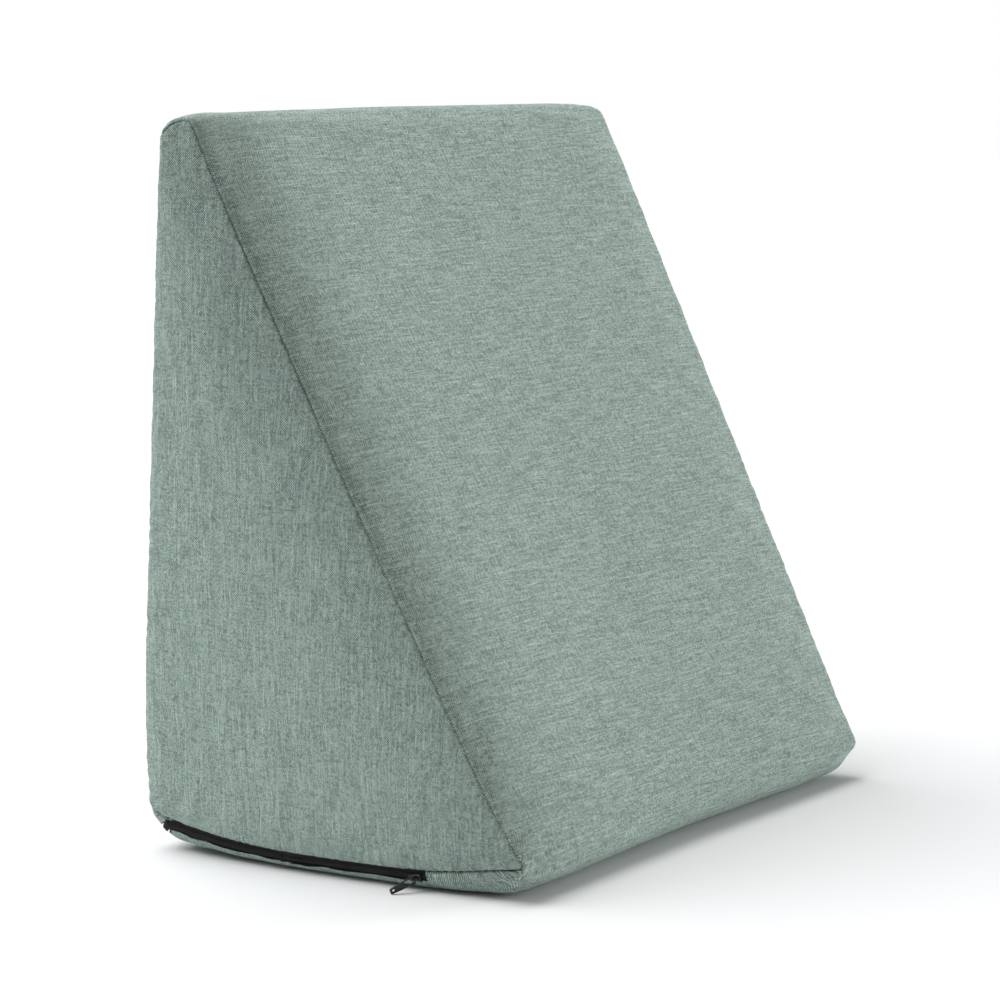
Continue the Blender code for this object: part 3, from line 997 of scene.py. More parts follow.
    def cast(self, tree: BVHTree, x: float, angle: float) -> float:
        """Return the distance from the middle line to a surface.

        Args:
            tree: The surface.
            x: The place across the width.
            angle: The ray's angle in the Y-Z plane.

        Returns:
            The radius, or zero where the ray misses.
        """
        away = Vector((0.0, math.cos(angle), math.sin(angle)))
        start = Vector((x, *self.centre)) + away * self.ray_start
        hit = tree.ray_cast(start, -away)
        return self.ray_start - hit[3] if hit[0] else 0.0

    def apex_lift(self, side: Side) -> np.ndarray:
        """Return how far the left seam is pulled up at the front of the ridge, at each angle."""
        share = (self.angles - self.apex_angle) / self.apex_width
        return self.apex_height * np.exp(-share * share) * (side is Side.LEFT)

    def draw(self) -> None:
        """Draw the wrap's rings and the panels' rings, and fill the panels' middles."""
        steps = int((self.half_width - self.near_seam[-1]) / self.ring_gap)
        inner = np.linspace(self.near_seam[-1], self.half_width, steps + 1)[1:]
        half = 1.0 - np.concatenate([self.near_seam, inner]) / self.half_width
        shares = np.concatenate([-half, half[-2::-1]])
        self.rings = len(shares)
        radii = np.zeros((self.rings, self.around))
        places = np.zeros((self.rings, self.around))
        for row, share in enumerate(shares):
            side = Side.LEFT if share < 0 else Side.RIGHT
            seam = self.seams[side]
            places[row] = seam[:, 0] * abs(share)
            if row in (0, self.rings - 1):
                radii[row] = seam[:, 1]
            else:
                radii[row] = [self.cast(self.wrap_tree, *ray) for ray in zip(places[row], self.angles)]
            inward = abs(self.seams[side][:, 0]).max() * (1 - abs(share))
            radii[row] += self.apex_lift(side) * math.exp(-inward / self.apex_fade) * (inward > 0)
        radii = self.heal(places, radii)
        points = self.to_points(places, radii).reshape(-1, 3)
        faces = self.skin()
        marks = [0] * len(faces)
        points, faces, marks = self.draw_panels(points, faces, marks)
        self.item = mesh_object("cover_sack", points, faces)
        self.item.data.polygons.foreach_set("material_index", marks)
        self.close_panels()
        LOG.info("sack drawn with %d vertices", len(self.item.data.vertices))

    def to_points(self, places: np.ndarray, radii: np.ndarray) -> np.ndarray:
        """Return points from their X and their distance from the middle line."""
        y = self.centre[0] + radii * np.cos(self.angles)
        z = self.centre[1] + radii * np.sin(self.angles)
        return np.stack([places, y, z], axis=2)

    def heal(self, places: np.ndarray, radii: np.ndarray) -> np.ndarray:
        """Close the zip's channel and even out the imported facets.

        Args:
            places: The X of each point.
            radii: Its distance from the middle line.

        Returns:
            The healed distances.
        """
        distances = np.linspace(0.0, self.route.length, len(self.route.points) * 4)
        line = points_tree(self.route.at(float(distance))[0] for distance in distances)
        channel_start, channel_end = self.zip_channel
        points = self.to_points(places, radii)
        lost = np.zeros(radii.shape, dtype=bool)
        for row in range(1, self.rings - 1):
            for column in range(self.around):
                gap = line.find(Vector(points[row, column]))[2]
                lost[row, column] = channel_start < gap < channel_end
        lost |= radii < self.shortest_ray
        around_share, inward_share = self.heal_shares
        for _ in range(self.heal_rounds):
            spread = (np.roll(radii, 1, axis=1) + np.roll(radii, -1, axis=1)) * 0.5
            inward = spread.copy()
            inward[1:-1] = (radii[2:] + radii[:-2]) * 0.5
            radii[lost] = (around_share * spread + inward_share * inward)[lost]
        beside, own = self.even_shares
        near = np.minimum(np.arange(self.rings), np.arange(self.rings)[::-1])
        keep = smooth_step(near / self.even_rings)[:, None]
        for _ in range(self.even_rounds):
            even = radii.copy()
            even[1:-1] = 0.25 * radii[2:] + 0.5 * radii[1:-1] + 0.25 * radii[:-2]
            even = beside * np.roll(even, 1, axis=1) + own * even + beside * np.roll(even, -1, axis=1)
            radii = radii + (even - radii) * keep
        return radii

    def skin(self) -> list[list[int]]:
        """Return the wrap's squares, between neighbouring rings."""
        faces = []
        for row in range(self.rings - 1):
            faces.extend(self.band(row * self.around, (row + 1) * self.around))
        return faces

    def band(self, low: int, high: int) -> list[list[int]]:
        """Return the squares between two rings.

        Args:
            low: The number of the first ring's first vertex.
            high: The same of the second ring.

        Returns:
            The squares.
        """
        faces = []
        for column in range(self.around):
            following = (column + 1) % self.around
            faces.append([low + column, low + following, high + following, high + column])
        return faces

    def draw_panels(
        self, points: np.ndarray, faces: list[list[int]], marks: list[int]
    ) -> tuple[np.ndarray, list[list[int]], list[int]]:
        """Add the rings of both end panels to the wrap.

        Args:
            points: The wrap's points.
            faces: The wrap's squares.
            marks: The material index of each square.

        Returns:
            All three, with the panels added.
        """
        all_points = [points]
        count = len(points)
        self.cores: dict[Side, list[int]] = {}
        for side in Side:
            seam = self.seams[side]
            narrow = float(seam[:, 1].min())
            inner = 1 - self.panel_core - self.panel_near_seam[-1] / narrow
            steps = max(3, int(inner * narrow / self.panel_ring_gap))
            shares = [1 - gap / narrow for gap in self.panel_near_seam]
            shares += list(np.linspace(shares[-1], self.panel_core, steps + 1)[1:])
            before = 0 if side is Side.LEFT else (self.rings - 1) * self.around
            for share in shares:
                y = self.centre[0] + seam[:, 1] * share * np.cos(self.angles)
                z = self.centre[1] + seam[:, 1] * share * np.sin(self.angles)
                x = [self.face_x(side, *place) for place in zip(y, z)]
                all_points.append(np.column_stack([x, y, z]))
                ring = self.band(before, count)
                faces.extend(face[::-1] if side is Side.LEFT else face for face in ring)
                marks.extend([side.slot_index] * len(ring))
                before = count
                count += self.around
            self.cores[side] = list(range(count - self.around, count))
        return np.vstack(all_points), faces, marks

    def face_x(self, side: Side, y: float, z: float) -> float:
        """Return the X of an end panel's face at a place in the Y-Z plane."""
        start = Vector((side.value * self.ray_start, y, z))
        hit = self.panel_trees[side].ray_cast(start, Vector((-side.value, 0.0, 0.0)))
        return hit[0].x if hit[0] else side.value * self.half_width

    def close_panels(self) -> None:
        """Fill the middle of each end panel with a grid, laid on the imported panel."""
        for side in Side:
            before = len(self.item.data.vertices)
            activate(self.item)
            bpy.ops.object.mode_set(mode="EDIT")
            bpy.ops.mesh.select_all(action="DESELECT")
            bpy.ops.object.mode_set(mode="OBJECT")
            ring = set(self.cores[side])
            for edge in self.item.data.edges:
                edge.select = edge.vertices[0] in ring and edge.vertices[1] in ring
            bpy.ops.object.mode_set(mode="EDIT")
            bpy.ops.mesh.select_mode(type="EDGE")
            bpy.ops.mesh.fill_grid(span=self.around // 4, use_interp_simple=True)
            bpy.ops.object.mode_set(mode="OBJECT")
            for vertex in self.item.data.vertices[before:]:
                vertex.co.x = self.face_x(side, vertex.co.y, vertex.co.z)
        for polygon in self.item.data.polygons:
            if polygon.material_index == 0 and all(self.is_panel(index) for index in polygon.vertices):
                polygon.material_index = (Side.LEFT if polygon.center.x < 0 else Side.RIGHT).slot_index
        point_outwards(self.item)

    def is_panel(self, index: int) -> bool:
        """Return whether a vertex belongs to an end panel and not to the wrap."""
        return index >= self.rings * self.around

    def seam_rows(self) -> np.ndarray:
        """Return the vertex numbers of the two seams."""
        ring = np.arange(self.around)
        return np.concatenate([ring, (self.rings - 1) * self.around + ring])

    def blow_up(self) -> None:
        """Blow the sack up as cloth, and keep what moves too far in its place."""
        before = coordinates(self.item)
        normals = coordinates(self.item, "normal")
        gaps = self.gap_to_seams(before)
        ease = smooth_step(gaps / self.held_by_seam)
        grounded = before[:, 2] < self.base_band
        ease[grounded] = 0.0
        started = before - normals * (self.start_inside * ease)[:, None]
        started[:, 2] = np.maximum(started[:, 2], np.where(grounded, before[:, 2], 0.0))
        set_coordinates(self.item, started)
        pins = self.item.vertex_groups.new(name="pins")
        held = set(np.where(grounded)[0].tolist()) | set(self.seam_rows().tolist())
        pins.add(sorted(held), 1.0, "REPLACE")
        self.simulate(pins.name)
        set_coordinates(self.item, self.keep_near(before, started, normals, grounded))

    def simulate(self, pins: str) -> None:
        """Run the cloth simulation under pressure and apply its last frame.

        Args:
            pins: The vertex group that is held.
        """
        cloth = self.item.modifiers.new("Cloth", "CLOTH")
        settings = cloth.settings
        settings.quality = self.cloth_quality
        settings.mass = self.cloth_mass
        settings.tension_stiffness = self.cloth_stiffness
        settings.compression_stiffness = self.cloth_stiffness
        settings.shear_stiffness = self.cloth_shear
        settings.bending_stiffness = self.cloth_bending
        settings.use_pressure = True
        settings.uniform_pressure_force = self.pressure
        settings.effector_weights.gravity = 0.0
        settings.vertex_group_mass = pins
        cloth.collision_settings.use_collision = False
        cloth.point_cache.frame_start = 1
        cloth.point_cache.frame_end = self.frames
        for step in range(1, self.frames + 1):
            bpy.context.scene.frame_set(step)
        apply_modifier(self.item, cloth)
        bpy.context.scene.frame_set(1)

    def keep_near(
        self, before: np.ndarray, started: np.ndarray, normals: np.ndarray, grounded: np.ndarray
    ) -> np.ndarray:
        """Return the simulated places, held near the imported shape.

        Args:
            before: The drawn places.
            started: The places that the simulation started from.
            normals: The drawn normals.
            grounded: Whether each vertex lies on the surface.

        Returns:
            The places, with the seams and the base where they were drawn.
        """
        moved = coordinates(self.item) - started
        distances = np.linalg.norm(moved, axis=1)
        kept = self.most_movement * np.tanh(distances / self.most_movement)
        scale = np.where(distances > 0, kept / np.maximum(distances, 1e-9), 0.0)
        places = started + moved * scale[:, None]
        sunk = -np.einsum("ij,ij->i", places - before, normals)
        places += normals * np.maximum(sunk - self.most_sinking, 0.0)[:, None]
        places[grounded] = before[grounded]
        places[self.seam_rows()] = before[self.seam_rows()]
        LOG.info("cloth moved up to %.1f mm, kept to %.1f mm", distances.max() / MM, kept.max() / MM)
        return places

    def gap_to_seams(self, places: np.ndarray) -> np.ndarray:
        """Return each place's distance to the nearer seam.

        Args:
            places: One row for each vertex.

        Returns:
            The distances in metres.
        """
        tree = points_tree(self.seam_line)
        found = [tree.find(Vector(place)) for place in places]
        self.nearest_seam = np.array([hit[1] for hit in found])
        return np.array([hit[2] for hit in found])

    @property
    def seam_line(self) -> np.ndarray:
        """Return closely spaced points along both seams."""
        found = []
        for side in Side:
            seam = self.seams[side]
            y = self.centre[0] + seam[:, 1] * np.cos(self.angles)
            z = self.centre[1] + seam[:, 1] * np.sin(self.angles)
            loop = np.column_stack([seam[:, 0], y, z])
            following = np.roll(loop, -1, axis=0)
            for share in self.seam_shares:
                found.append(loop * (1 - share) + following * share)
        return np.vstack(found)

    def map_cloth(self) -> None:
        """Lay the weave: its V along X on the wrap and along Z on the end panels."""
        mesh = self.item.data
        layer = mesh.uv_layers.new(name="cloth")
        places = coordinates(self.item)
        runs = self.runs_of(places)
        girth = self.column_run[-1]
        values = np.zeros((len(mesh.loops), 2))
        for polygon in mesh.polygons:
            corners = list(polygon.vertices)
            if polygon.material_index == 0:
                run = runs[corners]
                run = run + girth * (run < run.max() - girth / 2)
                uv = np.column_stack([run, places[corners, 0]])
            else:
                uv = places[corners, 1:] + (polygon.material_index, 0.0)
            values[list(polygon.loop_indices)] = uv
        layer.data.foreach_set("uv", values.ravel())

    def runs_of(self, places: np.ndarray) -> np.ndarray:
        """Return each place's distance round the middle outline.

        Args:
            places: One row for each vertex.

        Returns:
            The distances, each from the nearest point of the outline.
        """
        fine = np.linspace(self.angles[0], self.angles[0] + 2 * math.pi, 2001)
        outline, runs = self.middle_outline(fine)
        tangents = np.gradient(outline, axis=0)
        tangents /= np.linalg.norm(tangents, axis=1, keepdims=True)
        tree = points_tree((0.0, y, z) for y, z in outline)
        nearest = np.array([tree.find((0.0, y, z))[1] for _, y, z in places])
        past = np.einsum("ij,ij->i", places[:, 1:] - outline[nearest], tangents[nearest])
        limit = 0.5 * self.column_run[-1] / len(outline)
        return (runs[nearest] + np.clip(past, -limit, limit)) % self.column_run[-1]

    def refine(self) -> None:
        """Subdivide the sack once, its seams kept sharp."""
        mesh = self.item.data
        creases = mesh.attributes.new("crease_edge", "FLOAT", "EDGE")
        seam = set(self.seam_rows().tolist())
        for edge in mesh.edges:
            if edge.vertices[0] in seam and edge.vertices[1] in seam:
                creases.data[edge.index].value = 1.0
        modifier = self.item.modifiers.new("Finer", "SUBSURF")
        modifier.levels = modifier.render_levels = 1
        apply_modifier(self.item, modifier)

    def sew(self) -> None:
        """Pull in the seams and add the puckers, the creases and the slack of the cloth."""
        places = coordinates(self.item)
        normals = coordinates(self.item, "normal")
        gaps = self.gap_to_seams(places)
        run = self.run_along_seams()[self.nearest_seam]
        pull = self.seam_depth * np.exp(-((gaps / self.seam_width) ** 2))
        uneven = self.noise_along(run, *self.pucker_noise)
        ripple = np.sin(2 * math.pi * run / self.pucker_gap + self.pucker_wander * uneven)
        fade = np.exp(-gaps / self.pucker_reach)
        pull += self.pucker_height * (self.pucker_least + uneven) * ripple * fade
        swell = self.noise_along(run, *self.dimple_noise)
        slanted = run + self.dimple_slant * gaps
        dimple = np.sin(2 * math.pi * slanted / self.dimple_gap + self.dimple_wander * swell)
        far = gaps / self.dimple_reach
        pull += self.dimple_height * dimple * far * np.exp(1 - far)
        pull -= self.crown_beside_slope_seam(places, normals)
        slack = [noise.fractal(Vector(place) * self.slack_scale, 1.0, 2.0, 3) for place in places]
        pull += self.slack_height * np.array(slack) * smooth_step(gaps / self.slack_start)
        for crease in self.creases:
            pull += crease.push(places)
        grounded = eased(places[:, 2], self.foot_lift, self.foot_fade)
        deep = np.exp(-((gaps / self.seam_width) ** 2))
        pull *= np.maximum(grounded, deep)
        moved = places - normals * pull[:, None]
        moved[:, 2] = np.maximum(moved[:, 2], 0.0)
        set_coordinates(self.item, moved)
        # The second attribute holds painted shade, which the cloth's material multiplies into its colour.
        for name, values in (("seam_gap", gaps), ("painted_cloth_shade", self.shade(places, normals))):
            attribute = self.item.data.attributes.new(name, "FLOAT", "POINT")
            attribute.data.foreach_set("value", values)

    def noise_along(self, run: np.ndarray, scale: float, lane: float) -> np.ndarray:
        """Return slow noise along the seams.

        Args:
            run: Each vertex's distance along its seam.
            scale: How many changes there are in a metre.
            lane: Sets one noise apart from another.

        Returns:
            A value from -1 to 1 for each vertex.
        """
        return np.array([noise.noise(Vector((length * scale, lane, 0.0))) for length in run])

    def shade(self, places: np.ndarray, normals: np.ndarray) -> np.ndarray:
        """Return the painted shade of the cloth: darker beside the left slope seam, the more so the higher
        it is, and where the cloth faces left also darker towards the top and lighter towards the foot.

        Args:
            places: One row for each vertex.
            normals: Their normals.

        Returns:
            A share of full lightness at each vertex.
        """
        line = self.seam_line
        on_left = line[:, 0] < self.seams[Side.LEFT][:, 0].max() + MM
        on_slope = (line[:, 1] < self.slope_seam_back) & (line[:, 2] > self.slope_seam_foot)
        tree = points_tree(line[on_left & on_slope])
        gaps = np.array([tree.find(Vector(place))[2] for place in places])
        near = np.exp(-((gaps / self.shade_reach) ** 2))
        height = places[:, 2] / self.frame_height
        on_front = eased(-normals[:, 1], *self.front_facing)
        on_panel = eased(-normals[:, 0], *self.panel_facing)
        low_front, more_front = self.slope_shade
        beside, upwards, level = self.panel_shade
        # Painted shade, not a tone of the cloth: darker beside the left slope seam and higher up.
        depth = on_front * (low_front + more_front * height) * near
        depth = depth + on_panel * (beside * near + upwards * (height - level))
        return 1.0 - depth

    def crown_beside_slope_seam(self, places: np.ndarray, normals: np.ndarray) -> np.ndarray:
        """Return how far the slope rises beside its left seam, where the cover pulls it down.

        Args:
            places: One row for each vertex.
            normals: Their normals.

        Returns:
            The rise at each vertex.
        """
        inward = np.maximum(places[:, 0] + abs(self.seams[Side.LEFT][:, 0]).max(), 0.0)
        rise = (1 - np.exp(-inward / self.crown_rise)) * np.exp(-inward / self.crown_fall)
        faces_front = eased(-normals[:, 1], *self.crown_facing)
        height = places[:, 2] / self.frame_height
        top, fade = self.crown_top
        between = eased(height, *self.crown_foot) * smooth_step((top - height) / fade)
        return self.slope_crown * rise * faces_front * between

    @property
    def frame_height(self) -> float:
        """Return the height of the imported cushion."""
        low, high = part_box("cushion")
        return high[2] - low[2]

    def run_along_seams(self) -> np.ndarray:
        """Return the distance along its seam of each point of the seam line."""
        starts, ends = self.column_run[:-1], self.column_run[1:]
        found = [starts * (1 - share) + ends * share for _ in Side for share in self.seam_shares]
        return np.concatenate(found)


@dataclass
class Cover:
    """The cover's pieces: the filled wrap and the two end panels."""

    sack: CoverSack
    route: ZipRoute
    cloth: bpy.types.Material
    sheet: float = 0.0012
    rim_depth: float = 0.0028
    wrap_middle: float = 0.1
    zip_ends: float = 0.0006
    zip_step: float = 0.003
    smooth_angle: float = math.radians(50)
    fill: float = 0.95
    channel: tuple[tuple[float, float], ...] = (
        (-0.0036, -0.0030), (0.0040, -0.0030), (0.0040, 0.0080), (-0.0036, 0.0080),
    )

    def build(self) -> list[bpy.types.Object]:
        """Part the sack along its seams and finish each piece.

        Returns:
            The wrap and the end panels.
        """
        pieces = self.part()
        for side in Side:
            self.finish_panel(pieces[side.slot_index], side)
        self.finish_wrap(pieces[0])
        return list(pieces.values())

    def part(self) -> dict[int, bpy.types.Object]:
        """Part the sack by its material index.

        Returns:
            The piece of each index.
        """
        item = self.sack.item
        for name in ("wrap", "left", "right"):
            item.data.materials.append(bpy.data.materials.new(name))
        activate(item)
        bpy.ops.object.mode_set(mode="EDIT")
        bpy.ops.mesh.select_all(action="SELECT")
        bpy.ops.mesh.separate(type="MATERIAL")
        bpy.ops.object.mode_set(mode="OBJECT")
        found = {}
        for piece in bpy.context.selected_objects:
            middle = coordinates(piece)[:, 0].mean()
            side = Side.LEFT if middle < 0 else Side.RIGHT
            found[0 if abs(middle) < self.wrap_middle else side.slot_index] = piece
            dress(piece, self.cloth)
            piece.data.polygons.foreach_set("material_index", [0] * len(piece.data.polygons))
            piece.data.shade_smooth()
        return found

    def finish_panel(self, piece: bpy.types.Object, side: Side) -> None:
        """Args:
            piece: The panel's outer face.
            side: Its end.
        """
        piece.name = f"end_panel_{side.name.lower()}"
        places = coordinates(piece)
        wall = piece.modifiers.new("Wall", "SOLIDIFY")
        wall.thickness = self.sheet
        wall.offset = -1.0
        apply_modifier(piece, wall)
        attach(piece, BODY)
        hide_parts(side.panel_node)

    def finish_wrap(self, piece: bpy.types.Object) -> None:
        """Args:
            piece: The wrap's outer face.
        """
        piece.name = "cushion_wrap"
        self.close_end(piece)
        opening = self.route.sweep("zip_opening", self.channel, self.zip_ends, self.zip_step)
        combine(piece, opening, "DIFFERENCE")
        activate(piece)
        bpy.ops.object.shade_smooth_by_angle(angle=self.smooth_angle)
        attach(piece, BODY)
        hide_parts("cushion")

    def close_end(self, piece: bpy.types.Object) -> None:
        """Turn the wrap's two edges in behind the end panels and close them.

        Args:
            piece: The wrap.
        """
        activate(piece)
        for side in Side:
            bpy.ops.object.mode_set(mode="EDIT")
            bpy.ops.mesh.select_mode(type="EDGE")
            bpy.ops.mesh.select_all(action="DESELECT")
            edit = bmesh.from_edit_mesh(piece.data)
            for edge in edit.edges:
                middle = (edge.verts[0].co.x + edge.verts[1].co.x) / 2
                edge.select_set(edge.is_boundary and middle * side.value > 0)
            bmesh.update_edit_mesh(piece.data)
            bpy.ops.mesh.extrude_region_move(
                TRANSFORM_OT_translate={"value": (-side.value * self.rim_depth, 0.0, 0.0)}
            )
            bpy.ops.mesh.edge_face_add()
            bpy.ops.object.mode_set(mode="OBJECT")
        point_outwards(piece)


@dataclass
class Zip:
    """The zip's coil, slider and pull."""

    frame: dict[str, Any]
    route: ZipRoute
    nylon: bpy.types.Material
    lacquer: bpy.types.Material
    tape: bpy.types.Material
    coil_pitch: float = 0.00150
    coil_reach: float = 0.00205
    coil_wire: float = 0.00030
    coil_rise: float = 0.00062
    coil_overlap: float = 0.92
    coil_lean: float = 0.22
    turn_wire: float = 0.3
    slider_length: float = 0.0092
    slider_width: float = 0.0060
    slider_tail: float = 0.62
    slider_plate: float = 0.0015
    slider_bevel: float = 0.00045
    slider_lift: float = 0.0018
    slider_search: float = 0.1
    bridge_span: float = 0.0023
    bridge_wire: float = 0.00055
    bridge_scale: tuple[float, float, float] = (1.25, 1.0, 1.5)
    bridge_sink: float = 0.0002
    pull_tip_share: float = 0.62
    pull_bevel: float = 0.00028
    pull_corner: float = 0.0012
    slot_size: tuple[float, float, float] = (0.0062, 0.0040, 0.006)
    slot_from_head: float = 0.0011
    hole_radius: float = 0.0009
    hole_depth: float = 0.006
    hole_from_tip: float = 0.0024
    smooth_angle: float = math.radians(40)

    def build(self) -> list[bpy.types.Object]:
        """Build the zip's pieces.

        Returns:
            The coil, the slider and the pull.
        """
        for node in ("zip_tape_upper", "zip_tape_lower"):
            dress(self.frame["nodes"][node], self.tape)
        coil = self.build_coil()
        slider = self.build_slider()
        pull = self.build_pull()
        for piece, node, slot in (
            (coil, "zip_coil", "zip_black"),
            (slider, "zip_slider", "zip_metal"),
            (pull, "zip_pull", "zip_metal"),
        ):
            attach(piece, BODY)
            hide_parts(node)
        return [coil, slider, pull]

    def build_coil(self) -> bpy.types.Object:
        """Lay two rows of coil turns along the zip, each turn a flattened ring.

        Returns:
            The coil.
        """
        bpy.ops.object.select_all(action="DESELECT")
        bpy.ops.mesh.primitive_torus_add(
            major_segments=9, minor_segments=4, major_radius=1.0, minor_radius=self.turn_wire
        )
        turn = bpy.context.object
        shape = coordinates(turn)
        faces = [tuple(polygon.vertices) for polygon in turn.data.polygons]
        bpy.data.objects.remove(turn, do_unlink=True)
        half = self.coil_reach / 2
        ring = shape * np.array([half, self.coil_rise, self.coil_wire / self.turn_wire])
        lean = ring[:, 0:1] / half * self.coil_pitch * self.coil_lean
        count = int(self.route.length / self.coil_pitch)
        points, all_faces = [], []
        for index in range(count):
            for row, shift in ((1.0, 0.0), (-1.0, 0.5)):
                place, (along, up, out) = self.route.at((index + shift) * self.coil_pitch)
                across = (ring[:, 0:1] + half * self.coil_overlap * row) * up
                offset = across + ring[:, 1:2] * out + (ring[:, 2:3] + lean) * along
                start = len(points) * len(shape)
                points.append(place + offset)
                all_faces.extend(tuple(start + corner for corner in face) for face in faces)
        coil = mesh_object("zip_coil_rows", np.vstack(points), all_faces)
        dress(coil, self.nylon)
        point_outwards(coil)
        coil.data.shade_smooth()
        return coil

    def slider_matrix(self) -> Matrix:
        """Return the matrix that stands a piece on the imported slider's place."""
        low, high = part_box("zip_slider")
        middle = (Vector(low) + Vector(high)) / 2
        distances = np.linspace(0.0, self.route.length * self.slider_search, 60)
        gaps = [np.linalg.norm(self.route.at(float(d))[0] - np.array(middle)) for d in distances]
        place, (along, up, out) = self.route.at(float(distances[int(np.argmin(gaps))]))
        rows = Matrix((Vector(along), Vector(up), Vector(out))).transposed().to_4x4()
        return Matrix.Translation(Vector(place)) @ rows

    def build_slider(self) -> bpy.types.Object:
        """Model the slider: a tapered body with an arched bridge.

        Returns:
            The slider.
        """
        bpy.ops.object.select_all(action="DESELECT")
        bpy.ops.mesh.primitive_cube_add(size=1.0)
        body = bpy.context.object
        body.name = "zip_slider_body"
        body.scale = (self.slider_length, self.slider_width, self.slider_plate)
        bpy.ops.object.transform_apply(location=False, rotation=False, scale=True)
        for vertex in body.data.vertices:
            if vertex.co.x > 0:
                vertex.co.y *= self.slider_tail
        bevel = body.modifiers.new("Round", "BEVEL")
        bevel.width = self.slider_bevel
        bevel.segments = 3
        apply_modifier(body, bevel)
        bpy.ops.object.select_all(action="DESELECT")
        bpy.ops.mesh.primitive_torus_add(
            major_segments=28,
            minor_segments=10,
            major_radius=self.bridge_span,
            minor_radius=self.bridge_wire,
            rotation=(math.pi / 2, 0.0, 0.0),
            location=(0.0, 0.0, self.slider_plate / 2 - self.bridge_sink),
        )
        bridge = bpy.context.object
        bridge.scale = self.bridge_scale
        bpy.ops.object.transform_apply(location=True, rotation=True, scale=True)
        combine(body, bridge, "UNION")
        lift = Matrix.Translation((0.0, 0.0, self.slider_lift))
        body.data.transform(self.slider_matrix() @ lift)
        dress(body, self.lacquer)
        activate(body)
        bpy.ops.object.shade_smooth_by_angle(angle=self.smooth_angle)
        return body

    def pull_matrix(self) -> tuple[Matrix, Vector]:
        """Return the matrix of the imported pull, X down it, and its three sizes."""
        edit = merged_copy(self.frame, "zip_pull")
        points = np.array([tuple(vertex.co) for vertex in edit.verts])
        edit.free()
        middle = points.mean(axis=0)
        _, _, axes = np.linalg.svd(points - middle)
        low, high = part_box("zip_slider")
        slider = (np.array(low) + np.array(high)) / 2
        down = axes[0] if (middle - slider) @ axes[0] > 0 else -axes[0]
        across = axes[1]
        trio = (down, across, np.cross(down, across))
        spans = [(points - middle) @ axis for axis in trio]
        centre = middle + sum(axis * (span.max() + span.min()) / 2 for axis, span in zip(trio, spans))
        rows = Matrix([Vector(axis) for axis in trio]).transposed().to_4x4()
        return Matrix.Translation(Vector(centre)) @ rows, Vector([float(np.ptp(span)) for span in spans])

    def build_pull(self) -> bpy.types.Object:
        """Model the pull: a tapered tab with a slot, a hole in its tip and soft edges.

        Returns:
            The pull.
        """
        matrix, size = self.pull_matrix()
        bpy.ops.object.select_all(action="DESELECT")
        bpy.ops.mesh.primitive_cube_add(size=1.0)
        pull = bpy.context.object
        pull.name = "zip_pull_tab"
        pull.scale = size
        bpy.ops.object.transform_apply(location=False, rotation=False, scale=True)
        for vertex in pull.data.vertices:
            if vertex.co.x > 0:
                vertex.co.y *= self.pull_tip_share
        self.round_corners(pull, size)
        head = -size.x / 2 + self.slot_from_head + self.slot_size[0] / 2
        combine(pull, self.slot_cutter((head, 0.0, 0.0)), "DIFFERENCE")
        combine(pull, self.hole_cutter((size.x / 2 - self.hole_from_tip, 0.0, 0.0)), "DIFFERENCE")
        bevel = pull.modifiers.new("Soft", "BEVEL")
        bevel.width = self.pull_bevel
        bevel.segments = 3
        bevel.limit_method = "ANGLE"
        bevel.angle_limit = math.radians(50)
        apply_modifier(pull, bevel)
        pull.data.transform(matrix)
        dress(pull, self.lacquer)
        activate(pull)
        bpy.ops.object.shade_smooth_by_angle(angle=self.smooth_angle)
        return pull

    def round_corners(self, pull: bpy.types.Object, size: Vector) -> None:
        """Round the four upright edges of the tab.

        Args:
            pull: The tab.
            size: Its three sizes.
        """
        activate(pull)
        bpy.ops.object.mode_set(mode="EDIT")
        bpy.ops.mesh.select_mode(type="EDGE")
        bpy.ops.mesh.select_all(action="DESELECT")
        edit = bmesh.from_edit_mesh(pull.data)
        for edge in edit.edges:
            span = edge.verts[0].co - edge.verts[1].co
            edge.select_set(abs(span.z) > size.z / 2)
        bmesh.update_edit_mesh(pull.data)
        bpy.ops.mesh.bevel(offset=self.pull_corner, segments=5)
        bpy.ops.object.mode_set(mode="OBJECT")

    def slot_cutter(self, place: Sequence[float]) -> bpy.types.Object:
        """Return the box that cuts the slot."""
        bpy.ops.object.select_all(action="DESELECT")
        bpy.ops.mesh.primitive_cube_add(size=1.0, location=place, scale=self.slot_size)
        return bpy.context.object

    def hole_cutter(self, place: Sequence[float]) -> bpy.types.Object:
        """Return the cylinder that cuts the hole."""
        bpy.ops.object.select_all(action="DESELECT")
        bpy.ops.mesh.primitive_cylinder_add(
            vertices=24, radius=self.hole_radius, depth=self.hole_depth, location=place
        )
        return bpy.context.object


@dataclass(frozen=True)
class SoftLight:
    """One broad light: where it shines from, how soft it is and its share of full light."""

    name: str
    direction: tuple[float, float, float]
    spread: float
    share: float


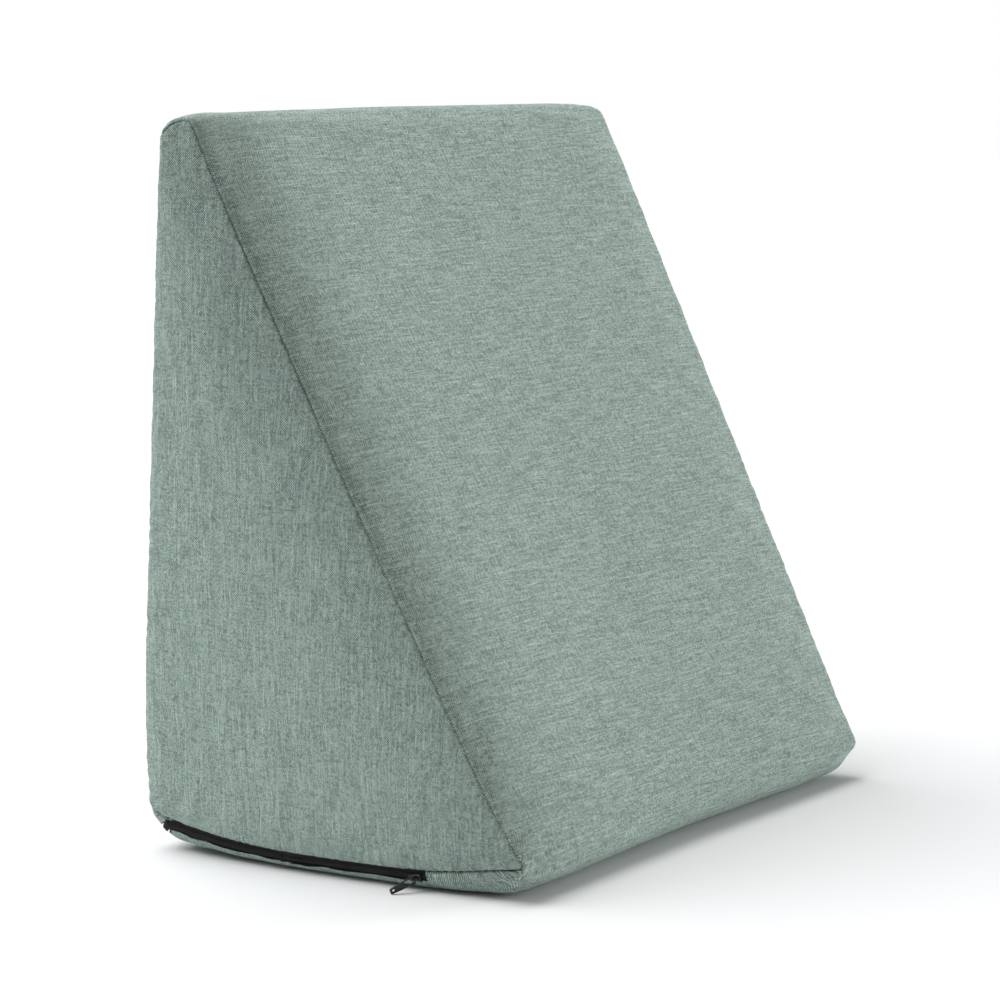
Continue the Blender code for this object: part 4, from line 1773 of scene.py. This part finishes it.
@dataclass
class Studio:
    """The floor, the lights and the camera."""

    yaw: float = math.radians(-57.2807)
    pitch: float = math.radians(7.2411)
    distance: float = 2.5482
    lens: float = 130.7
    sensor: float = 36.0
    target: tuple[float, float, float] = (-0.0187, 0.0, 0.2262)
    floor_radius: float = 14.0
    room_light: float = 0.20
    light_distance: float = 3.0
    lights: tuple[SoftLight, ...] = (
        SoftLight("top", (-0.16, 0.50, 0.85), 64.0, 1.25),
        SoftLight("front", (0.85, -0.52, 0.08), 25.0, 1.08),
        SoftLight("rear", (-0.75, 0.60, 0.25), 30.0, 0.06),
    )

    def build(self) -> None:
        """Set up the floor, the world, the lights and the camera."""
        self.build_floor()
        self.build_world()
        self.build_lights()
        self.build_camera()

    def build_floor(self) -> None:
        """Lay a round pale floor under the cushion."""
        bpy.ops.object.select_all(action="DESELECT")
        bpy.ops.mesh.primitive_circle_add(vertices=96, radius=self.floor_radius, fill_type="NGON")
        floor = bpy.context.object
        floor.name = "studio_floor"
        floor.data.materials.append(PaleFloor().material())

    def build_world(self) -> None:
        """Fill the room with even white light."""
        world = bpy.data.worlds.new("studio_world")
        bpy.context.scene.world = world
        world.use_nodes = True
        tree = world.node_tree
        background = tree.nodes["Background"]
        background.inputs["Color"].default_value = (1.0, 1.0, 1.0, 1.0)
        seen = tree.nodes.new("ShaderNodeLightPath").outputs["Is Camera Ray"]
        strength = tree.nodes.new("ShaderNodeMix")
        strength.inputs[2].default_value = self.room_light
        strength.inputs[3].default_value = 1.0
        tree.links.new(seen, strength.inputs[0])
        tree.links.new(strength.outputs[0], background.inputs["Strength"])
        bpy.context.scene.view_settings.view_transform = "Standard"

    def build_lights(self) -> None:
        """Shine three broad soft lights, so far off that the whole floor gets them."""
        for row in self.lights:
            light = bpy.data.lights.new(row.name, "SUN")
            light.angle = math.radians(row.spread)
            light.energy = math.pi * row.share
            item = bpy.data.objects.new(row.name, light)
            item.location = Vector(row.direction) * self.light_distance
            item.rotation_euler = Vector(row.direction).to_track_quat("Z", "Y").to_euler()
            bpy.context.scene.collection.objects.link(item)

    def build_camera(self) -> None:
        """Stand the camera where the photograph was taken from."""
        camera = bpy.data.cameras.new("camera")
        camera.lens = self.lens
        camera.sensor_width = self.sensor
        item = bpy.data.objects.new("camera", camera)
        level = math.cos(self.pitch)
        back = Vector((math.sin(self.yaw) * level, -math.cos(self.yaw) * level, math.sin(self.pitch)))
        item.location = Vector(self.target) + back * self.distance
        item.rotation_euler = (-back).to_track_quat("-Z", "Y").to_euler()
        bpy.context.scene.collection.objects.link(item)
        bpy.context.scene.camera = item


def main() -> None:
    """Build every piece in order and report it."""
    logging.basicConfig(level=logging.INFO, format="%(message)s")
    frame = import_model()
    route = ZipRoute(frame)
    LOG.info("zip route of %.0f mm in %d sections", route.length / MM, len(route.points))
    sack = CoverSack(frame, route)
    sack.build()
    for piece in Cover(sack, route, MelangeCloth().material()).build():
        LOG.info("%s: %d faces", piece.name, len(piece.data.polygons))
    finishes = (CoilNylon().material(), BlackLacquer().material(), ZipTapeCloth().material())
    for piece in Zip(frame, route, *finishes).build():
        LOG.info("%s: %d faces", piece.name, len(piece.data.polygons))
    Studio().build()


if __name__ == "__main__":
    main()
